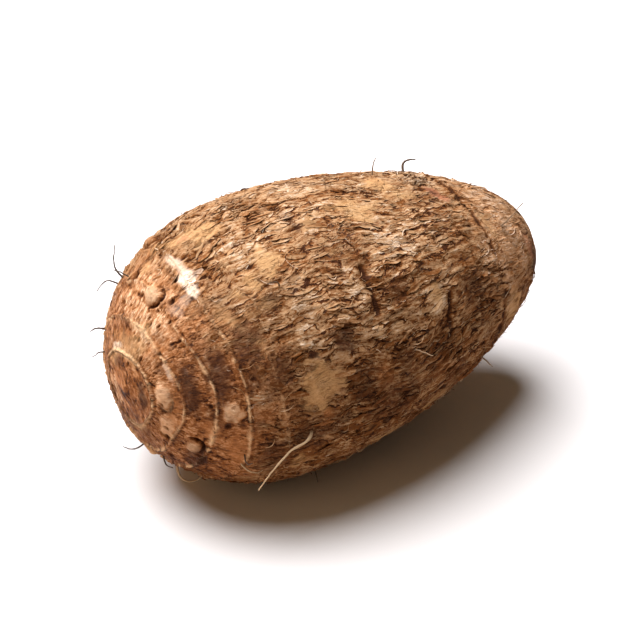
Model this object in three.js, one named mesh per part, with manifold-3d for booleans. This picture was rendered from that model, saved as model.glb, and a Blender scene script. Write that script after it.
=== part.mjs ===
// Malanga corm, lying on its side. One grown piece: body, leaf scar rings, buds and rootlets.
// Millimetres, +Z up. The axis runs along +X, from the ringed crown to the flat cut end.
// The origin is on the flat resting spot, right under the centre of mass.
//
// A place on the skin has two angles. Latitude is 0 at the tip of the crown and grows towards the
// cut end. Turn goes round the axis: 0 is the top, 90 the front (-Y), 180 the bottom, -90 the back.

import * as THREE from 'three';
import * as BufferGeometryUtils from 'three/addons/utils/BufferGeometryUtils.js';
import Module from 'manifold-3d';

// Body
const EGG_LENGTH = 120;
const BELLY_RADIUS = 34.9;
const EGG_FORM = [0.966, 0.248, 0.07];
const CUT_LATITUDE = 157;
const AXIS_HEIGHT = 33.7;
const CENTRE_OF_MASS_X = 53.6;

// Leaf scars, one raised ring at each step of latitude
const SCAR_FIRST = 12.5;
const SCAR_STEP = 10.2;
const SCAR_COUNT = 14;
const FAR_SCAR = 11;
const SCAR_WIDTH = 0.75;
const SCAR_WAVE = 1.5;
const STRONG_SCAR = { ridge: 0.6, terrace: 0.32 };
const FAINT_SCAR = { ridge: 0.28, terrace: 0.12 };

// Fibrous bark between the scars: rough ridges that run along the axis
const BARK_DEPTH = 0.34;
const BARK_RIDGES = 23;

// Terminal bud at the tip of the crown
const TIP_BUD = { height: 1.6, radius: 2.2 };

// Cut end: a thin rim of skin round flesh that has dried back a little
const RIM_WIDTH = 1.3;
const FLESH_DROP = 0.7;

// Mesh: rows round each scar, as steps of latitude before and after its crest
const COLUMNS = 64;
const SCAR_ROWS = [-1.0, 0, 1.0];
const ROWS_BETWEEN = 2;
const PLAIN_SCARS = [5, 10];
const ROWS_BETWEEN_PLAIN = 1;
const TIP_ROWS = [-0.95, -0.75, -0.45];

// Broad swells that keep the body from being a turned shape: [latitude, turn, along, around, height]
const SWELLS = [
  [58, -38, 17, 17, 0.9],
  [98, 64, 20, 18, 0.7],
  [72, -128, 18, 20, -0.8],
  [118, -92, 14, 16, 0.9],
  [52, 128, 12, 14, 0.6],
  [132, 22, 10, 12, -0.6],
  [30, -150, 8, 10, 0.7],
];

// Side buds on the scars: latitude, turn, half sizes along and around, height
const SIDE_BUDS = [
  [32.3, -2, 2.9, 3.5, 1.9],
  [17.8, 67, 2.2, 4.0, 1.3],
  [20.4, 100, 1.9, 3.8, 1.2],
  [38.4, 83, 3.1, 3.6, 1.5],
  [29.0, 110, 2.4, 3.2, 1.7],
  [48.8, -38, 2.4, 2.8, 1.6],
  [43.3, -118, 2.8, 3.5, 1.8],
  [33.1, -168, 2.6, 3.3, 1.8],
  [73.9, -96, 2.7, 3.2, 1.5],
  [114.8, -150, 2.3, 2.9, 1.4],
];
const BUD_SUNK_SHARE = 0.35;
const BUD_SIDES = 8;
const BUD_ROWS = 6;

// Pits and slits: latitude, turn, half sizes along and around, depth
const PITS = [
  [35.6, -28, 1.5, 1.3, 1.3],
  [34.9, 11, 1.1, 0.9, 0.9],
  [32.7, 125, 0.9, 1.9, 0.9],
  [74.5, 13, 2.4, 0.9, 0.8],
  [117.8, 8, 1.6, 2.0, 0.6],
  [60.4, -142, 1.7, 1.4, 1.0],
  [96.0, -60, 1.9, 1.2, 0.9],
];

// Cracks that open along a scar: scar number, first turn, last turn, depth
const CRACKS = [
  [7, 36, 61, 1.1],
  [9, 60, 84, 1.0],
  [8, -104, -84, 0.9],
  [5, 152, 168, 0.8],
];
const CRACK_WIDTH = 0.8;

// Rootlets
const ROOTLET_BASE_RADIUS = 0.45;
const ROOTLET_TIP_RADIUS = 0.24;
const ROOTLET_SIDES = 5;
const ROOTLET_STEPS = 5;
const ROOTLET_SUNK = 1.6;
const SEEDED_ROOTLETS = 13;
const SEED = 20417;

// Rootlets that stand out: [latitude, turn, then the bends as steps in X, Y and Z from the base]
const NAMED_ROOTLETS = [
  [38.6, -53, [-0.8, 1.9, 1.8], [-0.4, 3.4, 3.8], [1.0, 4.8, 6.6]],
  [37.7, -58, [-1.6, 1.6, 0.6], [-3.2, 2.2, 0.2], [-5.0, 2.2, -1.6]],
  [28.4, -80, [-1.8, 1.0, 0.2], [-3.6, 1.6, -0.4]],
  [21.6, -89, [-1.4, 0.8, -0.4], [-2.8, 1.2, -1.2]],
  [120.2, -28, [0.4, 0.8, 1.6], [1.6, 0.7, 2.5], [3.6, -0.4, 2.7]],
  [61.3, 99, [-2.6, -1.8, -0.6], [-7.0, -1.2, -2.2], [-12.0, -1.2, -5.8], [-15.6, -0.4, -10.4]],
  [35.1, 168, [0.2, -1.4, -3.0], [2.6, -2.6, -4.4], [5.0, -3.6, -3.0]],
  [43.6, 118, [1.2, -1.4, -1.6], [3.6, -1.6, -3.0], [6.2, -0.8, -3.0]],
  [26.5, 161, [0.0, -1.2, -2.0], [1.4, -1.8, -3.4]],
];

const radians = THREE.MathUtils.degToRad;

function bell(distance, width) {
  return Math.exp(-((distance / width) ** 2));
}

function smoothstep(low, high, value) {
  return THREE.MathUtils.smoothstep(value, low, high);
}

function wrapTurn(turn) {
  return ((((turn + 180) % 360) + 360) % 360) - 180;
}

// Radius of the plain egg at a latitude
function eggRadius(latitude) {
  const sine = Math.sin(radians(latitude));
  const cosine = Math.cos(radians(latitude));
  const form = EGG_FORM[0] + EGG_FORM[1] * cosine + EGG_FORM[2] * cosine * cosine;
  return BELLY_RADIUS * sine * form;
}

// Distance along the axis from the tip of the crown
function eggX(latitude) {
  return (EGG_LENGTH / 2) * (1 - Math.cos(radians(latitude)));
}

// Rise of the radius and of the axial distance for one degree of latitude, in millimetres
function eggSlope(latitude) {
  const half = 0.05;
  const rise = (eggRadius(latitude + half) - eggRadius(latitude - half)) / (2 * half);
  const run = (eggX(latitude + half) - eggX(latitude - half)) / (2 * half);
  return [run, rise];
}

// Distances along and around the skin, in millimetres, from a place to a latitude and turn
function skinOffset(placeLatitude, placeTurn, latitude, turn) {
  const [run, rise] = eggSlope(placeLatitude);
  const along = (latitude - placeLatitude) * Math.hypot(run, rise);
  const around = radians(wrapTurn(turn - placeTurn)) * eggRadius(placeLatitude);
  return [along, around];
}

// Latitude of scar number k, which may be a fraction between two scars
function scarLatitude(k, turn) {
  const fade = smoothstep(-1, 1.5, k) * (1 - smoothstep(12, 14.4, k));
  const slow = -SCAR_WAVE * Math.cos(radians(3 * turn - 33 * k));
  const quick = 0.35 * SCAR_WAVE * Math.sin(radians(5 * turn + 64 * k));
  return SCAR_FIRST + SCAR_STEP * k + fade * (slow + quick);
}

// Raised ring and the terrace behind it, strong at the crown and on the far scar
function scarRelief(k, turn) {
  const nearest = THREE.MathUtils.clamp(Math.round(k), 0, SCAR_COUNT - 1);
  const strength = Math.max(1 - smoothstep(2.5, 5.5, k), bell(k - FAR_SCAR, 0.8));
  const ridge = THREE.MathUtils.lerp(FAINT_SCAR.ridge, STRONG_SCAR.ridge, strength);
  const uneven = 0.8 + 0.2 * Math.sin(radians(2 * turn + 97 * nearest));
  const crest = ridge * uneven * bell((k - nearest) * SCAR_STEP, SCAR_WIDTH);
  const terrace = THREE.MathUtils.lerp(FAINT_SCAR.terrace, STRONG_SCAR.terrace, strength);
  const behind = k - Math.floor(k);
  return crest + terrace * smoothstep(0, 1, k) * ((1 - behind) ** 2 - 0.3);
}

function barkRelief(k, turn) {
  const body = smoothstep(2.4, 4.5, k) * (1 - smoothstep(13.4, 14.2, k));
  const coarse = Math.sin(radians(BARK_RIDGES * turn + 95 * Math.sin(1.9 * k)));
  const broken = Math.cos(radians(430 * k + 4 * turn + 60 * Math.sin(radians(3 * turn))));
  const cross = 0.5 * Math.sin(radians(11 * turn - 260 * k));
  return BARK_DEPTH * body * (coarse * broken + cross);
}

function pitRelief([pitLatitude, pitTurn, halfAlong, halfAround, depth], latitude, turn) {
  const [along, around] = skinOffset(pitLatitude, pitTurn, latitude, turn);
  return -depth * bell(Math.hypot(along / halfAlong, around / halfAround), 1);
}

function crackRelief([scar, firstTurn, lastTurn, depth], k, turn) {
  const distance = (k - scar) * SCAR_STEP;
  const middle = (firstTurn + lastTurn) / 2;
  const reach = Math.abs(wrapTurn(turn - middle)) / ((lastTurn - firstTurn) / 2);
  return -depth * bell(distance, CRACK_WIDTH) * (1 - smoothstep(0.6, 1, reach));
}

// How far the skin stands off the plain egg
function relief(k, turn) {
  const latitude = scarLatitude(k, turn);
  let height = scarRelief(k, turn) + barkRelief(k, turn);
  height += TIP_BUD.height * bell(eggRadius(latitude), TIP_BUD.radius);
  for (const [swellLatitude, swellTurn, alongReach, aroundReach, rise] of SWELLS) {
    const [along, around] = skinOffset(swellLatitude, swellTurn, latitude, turn);
    height += rise * bell(along, alongReach) * bell(around, aroundReach);
  }
  for (const pit of PITS) {
    height += pitRelief(pit, latitude, turn);
  }
  for (const crack of CRACKS) {
    height += crackRelief(crack, k, turn);
  }
  return height;
}

// Point of the part from a distance along the axis, a radius and a turn
function place(x, radius, turn) {
  const angle = radians(turn);
  const y = -radius * Math.sin(angle);
  const z = AXIS_HEIGHT + radius * Math.cos(angle);
  return new THREE.Vector3(x - CENTRE_OF_MASS_X, y, z);
}

function outward(latitude, turn) {
  const [run, rise] = eggSlope(latitude);
  const length = Math.hypot(run, rise);
  const angle = radians(turn);
  const radial = run / length;
  return new THREE.Vector3(-rise / length, -radial * Math.sin(angle), radial * Math.cos(angle));
}

// Scar number at a latitude, for a place that is given by its latitude
function scarNumber(latitude, turn) {
  let k = (latitude - SCAR_FIRST) / SCAR_STEP;
  for (let pass = 0; pass < 3; pass += 1) {
    k += (latitude - scarLatitude(k, turn)) / SCAR_STEP;
  }
  return k;
}

function skinPoint(k, turn) {
  const latitude = scarLatitude(k, turn);
  const base = place(eggX(latitude), eggRadius(latitude), turn);
  return base.addScaledVector(outward(latitude, turn), relief(k, turn));
}

// Scar numbers of the mesh rows, from the tip of the crown to the rim of the cut
function rowNumbers() {
  const rows = [...TIP_ROWS];
  const first = SCAR_ROWS[0] / SCAR_STEP;
  const last = SCAR_ROWS.at(-1) / SCAR_STEP;
  for (let scar = 0; scar < SCAR_COUNT; scar += 1) {
    for (const row of SCAR_ROWS) {
      rows.push(scar + row / SCAR_STEP);
    }
    const plain = scar >= PLAIN_SCARS[0] && scar < PLAIN_SCARS[1];
    const count = plain ? ROWS_BETWEEN_PLAIN : ROWS_BETWEEN;
    const gap = (1 - last + first) / (count + 1);
    for (let between = 1; between <= count; between += 1) {
      rows.push(scar + last + gap * between);
    }
  }
  return rows;
}

function asSolid(geometry, wasm) {
  geometry.deleteAttribute('normal');
  geometry.deleteAttribute('uv');
  const merged = BufferGeometryUtils.mergeVertices(geometry, 1e-4);
  const vertProperties = new Float32Array(merged.attributes.position.array);
  const triVerts = new Uint32Array(merged.index.array);
  return new wasm.Manifold(new wasm.Mesh({ numProp: 3, vertProperties, triVerts }));
}

// Closed skin: a lathe of the plain egg, each of its points moved onto the real skin
function skinGeometry() {
  const rows = rowNumbers();
  const cutX = eggX(CUT_LATITUDE);
  const rimRadius = eggRadius(CUT_LATITUDE);
  const profile = [new THREE.Vector2(0, 0)];
  for (const row of rows) {
    const latitude = SCAR_FIRST + SCAR_STEP * row;
    profile.push(new THREE.Vector2(eggRadius(latitude), eggX(latitude)));
  }
  profile.push(new THREE.Vector2(rimRadius, cutX));
  profile.push(new THREE.Vector2(rimRadius - RIM_WIDTH, cutX - FLESH_DROP));
  profile.push(new THREE.Vector2(0, cutX - FLESH_DROP));
  const skin = new THREE.LatheGeometry(profile, COLUMNS);
  const position = skin.attributes.position;
  for (let index = 0; index < position.count; index += 1) {
    const step = index % profile.length;
    const column = Math.floor(index / profile.length) % COLUMNS;
    const turn = (360 * column) / COLUMNS;
    let point = place(profile[step].y, profile[step].x, turn);
    if (step === 0) {
      point = place(-TIP_BUD.height, 0, 0);
    } else if (step <= rows.length) {
      point = skinPoint(rows[step - 1], turn);
    }
    position.setXYZ(index, point.x, point.y, point.z);
  }
  return skin;
}

// Flattened dome on the skin, sunk in a little
function budGeometry([latitude, turn, alongHalf, aroundHalf, height]) {
  const out = outward(latitude, turn);
  const angle = radians(turn);
  const side = new THREE.Vector3(0, -Math.cos(angle), -Math.sin(angle));
  const forward = new THREE.Vector3().crossVectors(side, out);
  const centre = skinPoint(scarNumber(latitude, turn), turn);
  centre.addScaledVector(out, -BUD_SUNK_SHARE * height);
  const frame = new THREE.Matrix4().makeBasis(
    forward.multiplyScalar(alongHalf),
    side.multiplyScalar(aroundHalf),
    out.multiplyScalar(height),
  );
  frame.setPosition(centre);
  return new THREE.SphereGeometry(1, BUD_SIDES, BUD_ROWS).applyMatrix4(frame);
}

// Tapered tube along a curve, closed at both ends
function rootletGeometry(points) {
  const path = new THREE.CatmullRomCurve3(points);
  const section = new THREE.Shape();
  for (let side = 0; side < ROOTLET_SIDES; side += 1) {
    const angle = (2 * Math.PI * side) / ROOTLET_SIDES;
    const corner = [ROOTLET_BASE_RADIUS * Math.cos(angle), ROOTLET_BASE_RADIUS * Math.sin(angle)];
    if (side === 0) {
      section.moveTo(...corner);
    } else {
      section.lineTo(...corner);
    }
  }
  section.closePath();
  const tube = new THREE.ExtrudeGeometry(section, { steps: ROOTLET_STEPS, extrudePath: path });
  const centres = path.getSpacedPoints(ROOTLET_STEPS);
  const position = tube.attributes.position;
  const corner = new THREE.Vector3();
  for (let index = 0; index < position.count; index += 1) {
    corner.fromBufferAttribute(position, index);
    let nearest = 0;
    for (let step = 1; step < centres.length; step += 1) {
      if (corner.distanceTo(centres[step]) < corner.distanceTo(centres[nearest])) {
        nearest = step;
      }
    }
    const share = nearest / ROOTLET_STEPS;
    const thinner = 1 + (ROOTLET_TIP_RADIUS / ROOTLET_BASE_RADIUS - 1) * share;
    corner.sub(centres[nearest]).multiplyScalar(thinner).add(centres[nearest]);
    position.setXYZ(index, corner.x, corner.y, corner.z);
  }
  return tube;
}

// Seeded random numbers from 0 to 1
function seededRandom(seed) {
  let state = seed;
  return () => {
    state = (state + 0x6d2b79f5) | 0;
    let mixed = Math.imul(state ^ (state >>> 15), 1 | state);
    mixed = (mixed + Math.imul(mixed ^ (mixed >>> 7), 61 | mixed)) ^ mixed;
    return ((mixed ^ (mixed >>> 14)) >>> 0) / 4294967296;
  };
}

// Base, turn and bends of the rootlets that are scattered by rule
function seededRootlets() {
  const random = seededRandom(SEED);
  const rootlets = [];
  for (let number = 0; number < SEEDED_ROOTLETS; number += 1) {
    const latitude = 24 + 118 * ((number + 0.5 * random()) / SEEDED_ROOTLETS);
    const turn = -180 + ((number * 137.5 + 24 * random()) % 360);
    const length = 3.5 + 6 * random();
    const out = outward(latitude, turn);
    const lean = new THREE.Vector3(random() - 0.5, random() - 0.5, random() - 0.5);
    const bends = [];
    for (const share of [0.35, 0.7, 1]) {
      const bend = out.clone().multiplyScalar(length * share * (1 - 0.25 * share));
      bend.addScaledVector(lean, length * share * share);
      bends.push(bend.toArray());
    }
    rootlets.push([latitude, turn, ...bends]);
  }
  return rootlets;
}

function rootletPoints([latitude, turn, ...bends]) {
  const base = skinPoint(scarNumber(latitude, turn), turn);
  const root = base.clone().addScaledVector(outward(latitude, turn), -ROOTLET_SUNK);
  const points = [root, base];
  for (const bend of bends) {
    points.push(base.clone().add(new THREE.Vector3(...bend)));
  }
  return points;
}

function floorBlock() {
  const block = new THREE.BoxGeometry(2 * EGG_LENGTH, 2 * EGG_LENGTH, EGG_LENGTH);
  block.translate(0, 0, -EGG_LENGTH / 2);
  return block;
}

function cormGeometry(wasm) {
  let corm = asSolid(skinGeometry(), wasm);
  for (const bud of SIDE_BUDS) {
    corm = corm.add(asSolid(budGeometry(bud), wasm));
  }
  for (const rootlet of [...NAMED_ROOTLETS, ...seededRootlets()]) {
    corm = corm.add(asSolid(rootletGeometry(rootletPoints(rootlet)), wasm));
  }
  const mesh = corm.subtract(asSolid(floorBlock(), wasm)).getMesh();
  const geometry = new THREE.BufferGeometry();
  geometry.setAttribute('position', new THREE.BufferAttribute(mesh.vertProperties, 3));
  geometry.setIndex(new THREE.BufferAttribute(mesh.triVerts, 1));
  geometry.computeVertexNormals();
  return geometry;
}

const wasm = await Module();
wasm.setup();

const bark = new THREE.MeshStandardMaterial({ color: 0x8f6d4a, roughness: 0.9, metalness: 0 });
const corm = new THREE.Mesh(cormGeometry(wasm), bark);
corm.name = 'corm';

const malanga = new THREE.Group();
malanga.add(corm);

export default malanga;
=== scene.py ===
import math

import bpy
import numpy as np
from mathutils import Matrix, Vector


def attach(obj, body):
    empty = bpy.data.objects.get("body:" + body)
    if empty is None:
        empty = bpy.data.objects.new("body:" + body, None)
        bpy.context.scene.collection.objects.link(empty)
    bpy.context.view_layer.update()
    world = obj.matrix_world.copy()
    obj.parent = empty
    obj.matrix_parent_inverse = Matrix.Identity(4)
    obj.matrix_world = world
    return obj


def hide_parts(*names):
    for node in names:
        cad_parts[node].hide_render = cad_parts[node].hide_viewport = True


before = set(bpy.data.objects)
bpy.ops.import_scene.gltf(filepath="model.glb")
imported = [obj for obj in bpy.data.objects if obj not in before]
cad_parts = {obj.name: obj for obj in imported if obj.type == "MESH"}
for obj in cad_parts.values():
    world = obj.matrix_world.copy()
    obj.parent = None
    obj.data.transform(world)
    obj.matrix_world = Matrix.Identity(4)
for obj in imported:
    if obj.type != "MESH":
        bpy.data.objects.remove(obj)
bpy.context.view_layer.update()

# A malanga corm lying on its side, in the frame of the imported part.
# Sizes are in millimetres and angles in degrees unless a name says otherwise. MM turns them to metres.
# A place on the skin has a latitude, 0 at the tip of the crown, and a turn round the axis:
# 0 is the top, 90 the front, 180 the bottom, -90 the back. k counts the leaf scars from the crown.

MM = 0.001

# Body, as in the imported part
EGG_LENGTH = 120
BELLY_RADIUS = 34.9
EGG_FORM = (0.966, 0.248, 0.07)
CUT_LATITUDE = 157
AXIS_HEIGHT = 33.7
CENTRE_OF_MASS_X = 53.6
SCAR_FIRST = 12.5
SCAR_STEP = 10.2
SCAR_COUNT = 14
FAR_SCAR = 11
SCAR_WAVE = 1.5
TIP_BUD_HEIGHT = 0.7
TIP_BUD_RADIUS = 3.0
RIM_WIDTH = 1.3
FLESH_DROP = 0.7
BARK_DEPTH = 0.34
BARK_RIDGES = 23

# Ring and terrace height at the crown and on the body
STRONG_RIDGE = 0.42
STRONG_TERRACE = 0.42
FAINT_RIDGE = 0.26
FAINT_TERRACE = 0.14
RIDGE_RISE = 0.75
RIDGE_FALL = 0.38

# Angle of the fibres on the tip, which lie side by side, and their bow, the smaller the more bent
TIP_FIBRE_TURN = -40
TIP_FIBRE_BOW = 28

# Latitude, turn, reach along, reach around, height
SWELLS = (
    (58, -38, 17, 17, 0.9), (98, 64, 20, 18, 0.7), (72, -128, 18, 20, -0.8), (118, -92, 14, 16, 0.9),
    (52, 128, 12, 14, 0.6), (132, 22, 10, 12, -0.6), (30, -150, 8, 10, 0.7),
)

# Latitude, turn, half sizes along and around, height, then the depth of the crescent beside it and where
# that lies: 0 is towards the cut, 90 towards the next turn. The last value is how pale the outline is
SIDE_BUDS = (
    (32.6, -3, 2.5, 3.0, 1.1, 1.1, 95, 0.0),
    (17.8, 71, 2.0, 3.8, 1.0, 0.5, 60, 0.55),
    (18.9, 106, 2.1, 4.0, 0.5, 0.1, 60, 0.35),
    (39.4, 83, 2.8, 3.2, 1.0, 0.0, 90, 0.0),
    (28.4, 114, 2.2, 2.6, 1.1, 1.6, -50, 0.0),
    (48.8, -38, 2.2, 2.6, 1.2, 0.8, 120, 0.0),
    (43.3, -118, 2.7, 3.3, 1.4, 1.3, 120, 0.0),
    (33.1, -168, 2.5, 3.1, 1.4, 1.2, 120, 0.0),
    (73.9, -96, 2.6, 3.1, 1.2, 1.1, 120, 0.0),
    (114.8, -150, 2.2, 2.8, 1.1, 0.9, 120, 0.0),
)

# Latitude, turn, half sizes along and around, depth
PITS = (
    (35.6, -28, 1.3, 1.2, 1.5), (34.9, 11, 1, 0.7, 1.1), (30.8, -13, 0.6, 0.9, 0.9),
    (32.7, 125, 0.7, 2.2, 1), (74.5, 13, 2.8, 0.5, 1), (117.8, 8, 1.6, 2, 0.5),
    (60.4, -142, 1.7, 1.2, 1.1), (96, -60, 1.9, 1, 1), (31.8, 123, 1.5, 0.5, 0.9),
    (46.4, -4, 1.5, 0.6, 0.9), (48.2, 9, 1.8, 0.5, 0.9), (46.6, 13, 1.4, 0.5, 0.8),
    (45.8, -20, 1.3, 0.5, 0.7),
)

# Short dark strokes on the crown: latitude and turn, then half sizes along and around and depth of each
STROKES = (
    (26.3, 5), (25.2, 9), (27, 16), (30.6, 20), (23.7, -27), (18.5, 6), (18, -44), (27.6, 33),
    (29.9, 34), (21.9, 33), (20.9, 40), (14.9, 22), (7.5, -33), (10.6, -16), (12.4, -49), (9.5, 1),
    (7.2, -64), (40.2, 3), (37.3, 11), (30.1, -44), (29.9, -9), (49.7, 17), (45.3, -29), (24, -70),
    (30, -96), (21, -130), (28, 150), (36, 176), (40, -62), (17, 140),
)
STROKE_SIZE = (0.75, 0.34, 0.6)
SMALL_PITS = 46
SMALL_CROWN_PITS = 30

# Scar number, first turn, last turn, depth
CRACKS = (
    (7, 36, 61, 1.2), (9, 60, 84, 1.1), (8, -104, -84, 1), (5, 152, 168, 0.8),
)
CRACK_WIDTH = 0.5

# Where a scar's pale line broadens: scar number, middle turn, reach in degrees, added width
BROAD_SCARS = (
    (0, -20, 34, 0.9), (0, 165, 40, 0.5), (1, 6, 30, 0.6), (2, 100, 14, 0.3), (2, -120, 30, 0.5),
)

# Smooth worn places: latitude, turn, reach along, reach around, strength
WORN_PATCHES = (
    (56.5, 27, 2.2, 3, 0.8), (58, -168, 4, 6, 0.8), (62.8, 22, 3.6, 4.4, 1), (63.6, 78, 5.2, 6.4, 1.3),
    (72, -70, 6, 5, 1), (82.1, 65, 1.2, 1.4, 1), (88, 132, 6, 5, 0.9), (92, 15, 4.5, 4, 0.8),
    (100.6, 61, 2.2, 3.4, 0.9), (104, -2, 4, 4.5, 0.8), (106, -120, 5.5, 6, 0.9), (118, 158, 5, 5, 0.8),
    (132, 96, 4, 5, 0.8),
)

# Rubbed pale places
SCUFFS = (
    (14, -34, 0.9, 2.6, 0.7), (22, 48, 0.9, 3, 0.5), (34.5, 17, 1.6, 2.2, 0.2),
    (38.5, 16, 2, 1.8, 0.22), (40, -84, 1.8, 3, 0.8), (42.4, 10, 2.2, 4, 1.1),
    (43.8, -4, 1.3, 4.6, 0.55), (80, 168, 2.2, 3, 0.7), (110, -40, 2.4, 2, 0.8),
)

# Places where the bark has chipped off and the red-brown layer shows
CHIPS = (
    (50.5, -14, 1.4, 1.4, 0.6), (92, -140, 2.8, 2.4, 0.9), (117.8, 8, 2, 2.6, 1),
    (119.2, 14, 1.6, 1.8, 0.9), (149.1, 63, 2.4, 3.6, 0.55),
)

# Dark stained places; some, low on the front, are painted shade
DARK_STAINS_AND_SHADE = (
    (9, 78, 1.5, 4.2, 1), (9.6, -38, 1.5, 2.6, 0.7), (19.6, 43, 1.4, 2.4, 0.5), (25, 22, 1.6, 3, 0.35),
    (26, -140, 3, 5, 0.8), (27.2, 66, 2.8, 7.5, 1), (31, 127, 3, 6, 0.8), (37, 62, 3.6, 7, 1.1),
    (46, -95, 3.5, 5, 0.7), (46.6, 71, 3, 6, 0.6), (47, 30, 4, 6, 0.3), (47.5, 50, 3.6, 6, 0.8),
    (52, 112, 4, 8, 0.7), (55, 66, 3.6, 5, 0.7), (57.5, 39, 3.4, 3.6, 0.6), (62, -150, 5, 6, 0.7),
    (62, 100, 7, 5, 0.7), (72.8, 63, 3, 3.6, 1.2), (74.9, 8, 1.4, 3.6, 0.8), (75, 12, 1, 2.6, 0.7),
    (76, 84, 4, 6, 0.7), (80, 26, 9, 9, 0.3), (84, -100, 4, 5, 0.6), (86, 99, 10, 8, 0.6),
    (88.3, 80, 3, 3.4, 0.6), (91, 53, 3.6, 4, 0.7), (96, 172, 6, 8, 0.7), (98, 86, 7, 7, 0.3),
    (107, 111, 6, 9, 0.4), (114, 67, 4, 4.5, 0.6), (125, -160, 5, 5, 0.7), (138, -110, 3.5, 6, 0.7),
    (140, 20, 3, 6, 0.4), (151.5, 78, 2, 6, 1.2),
)

# Places with paler skin
PALE_PLACES = (
    (6, -120, 3, 5, 0.9), (14, -24, 2, 5, 0.7), (17.6, 71, 2, 4, 1.8), (18.6, 105, 2, 3.8, 1.5),
    (21.4, 6, 1.8, 7, 0.9), (26, 92, 2.4, 3.4, 0.5), (30, -5, 7.5, 13, 0.85), (36, -120, 6, 10, 0.7),
    (39.6, 83, 2.8, 3.2, 0.8), (47.5, 76, 3, 3.4, 0.9), (57, 8, 7, 7, 0.6), (63.3, 56, 3, 3.4, 0.8),
    (66, 44, 4, 6, 0.5), (70, -150, 7, 9, 0.6), (79.6, 47, 2.6, 8, 1), (82, 150, 8, 8, 0.6),
    (82.1, 65, 1.7, 2, 2.2), (84, -12, 9, 9, 0.5), (84.5, 50, 1.6, 1.8, 0.9), (98, 34, 9, 5, 0.7),
    (100.8, 62, 2.8, 4.2, 1.3), (112, -84, 9, 8, 0.6), (120, -8, 8, 9, 0.6), (134, 58, 10, 16, 1.6),
    (138, 10, 8, 12, 0.9),
)

# Russet and orange places
WARM_STAINS = (
    (4.5, -50, 2.6, 3.6, 0.8), (12, 150, 2.4, 3.6, 0.7), (17.5, -19, 2, 3.4, 0.8),
    (17.8, 71, 2, 3.8, 0.45), (18.9, 106, 2.1, 4, 0.6), (20.4, 100, 2.2, 3.8, 0.6),
    (22, 30, 2.4, 4.4, 0.8), (22, 80, 1.4, 6, 0.6), (24, -100, 3, 5, 0.7), (33, 97, 2.6, 4.4, 0.7),
    (35, -150, 3, 5, 0.8), (41, 108, 3.4, 6, 0.8), (65.2, 94, 1.6, 3, 1.2), (81.6, 85, 2.4, 3, 0.6),
    (104, -4, 2.6, 3, 0.4), (136, 56, 14, 20, 0.4), (138, 4, 12, 16, 0.3),
)

# Where the fibres run askew: latitude, turn, reach in millimetres, degrees towards the next turn
WHIRLS = (
    (92, 8, 15, 22), (76, 44, 12, 12), (102, 82, 15, -16), (64, -52, 16, -18), (108, -128, 18, 22),
    (84, 160, 16, 18),
)

# Mesh of the skin. Rows at a scar are steps in degrees from it
COLUMN_STEPS = ((18.0, 512), (8.5, 256), (3.8, 128), (1.6, 64), (0.0, 32))
CROWN_SCARS = 5
CROWN_SCAR_ROWS = (-1.3, -0.9, -0.5, -0.2, 0.1, 0.45, 0.9, 1.4)
BODY_SCAR_ROWS = (-0.8, -0.25, 0.2, 0.8)
CROWN_ROWS_BETWEEN = 12
BODY_ROWS_BETWEEN = 8
TIP_ROWS = 14
RIM_RINGS = ((0.35, -0.12), (0.8, 0.05), (RIM_WIDTH, 0.6), (RIM_WIDTH + 0.2, 2.4))

# Cut face: dish depth, thickness behind it and gap to the rim
FLESH_DISH = 0.5
FLESH_THICKNESS = 1.4
FLESH_GAP = 0.05
FLESH_RINGS = 34
FLESH_COLUMNS = 160

# Rootlets: latitude, turn, girth, paleness, then the bends as steps in X, Y and Z from the base
NAMED_ROOTLETS = (
    (38.6, -53, 1.1, 0.3, (-0.8, 1.9, 1.8), (-0.4, 3.4, 3.8), (1.0, 4.8, 6.6)),
    (37.7, -58, 1.0, 0.4, (-1.6, 1.6, 0.6), (-3.2, 2.2, 0.2), (-5.0, 2.2, -1.6)),
    (28.4, -80, 1.3, 0.2, (-1.8, 1.0, 0.2), (-3.6, 1.6, -0.4)),
    (21.6, -89, 1.0, 0.3, (-1.4, 0.8, -0.4), (-2.8, 1.2, -1.2)),
    (120.2, -28, 1.7, 0.3, (0.4, 0.8, 1.6), (1.6, 0.7, 2.5), (3.6, -0.4, 2.7)),
    (61.3, 99, 1.5, 1.0, (-2.6, -1.8, -0.6), (-7.0, -1.2, -2.2), (-12.0, -1.2, -5.8), (-15.6, -0.4, -10.4)),
    (35.1, 168, 1.3, 0.9, (0.2, -1.4, -3.0), (2.6, -2.6, -4.4), (5.0, -3.6, -3.0)),
    (43.6, 118, 1.0, 0.8, (1.2, -1.4, -1.6), (3.6, -1.6, -3.0), (6.2, -0.8, -3.0)),
    (26.5, 161, 1.0, 0.4, (0.0, -1.2, -2.0), (1.4, -1.8, -3.4)),
)
SEEDED_ROOTLETS = 13
SEED = 20417
ROOTLET_BASE_RADIUS = 0.28
ROOTLET_TIP_RADIUS = 0.1
ROOTLET_SUNK = 1.6

# View
VIEW_AZIMUTH = -34.6
VIEW_ELEVATION = 34.3
VIEW_DISTANCE = 900
VIEW_AIM = (3, 0, 32)
FRAME_WIDTH = 158
SENSOR_WIDTH = 36

# Lights: direction as shares of up, level ahead and right, distance and width in metres, watts, colour
LIGHTS = (
    ("key_light", (1.5, 0.34, -0.5), 1.3, 1.3, 57, (0.92, 1.0, 1.15)),
    ("fill_light", (0.5, -0.6, -1.0), 1.4, 1.0, 3.0, (1.0, 0.72, 0.45)),
)
STUDIO_COLOUR = (1.0, 0.80, 0.58, 1)
STUDIO_STRENGTH = 0.14
FLOOR_HALF = 1500
FLOOR_COLOUR = (0.66, 0.59, 0.52, 1)
FLOOR_ROUGHNESS = 0.9
LEAST_HEIGHT = 0.05


def bell(distance, width):
    return np.exp(-((distance / width) ** 2))


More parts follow.
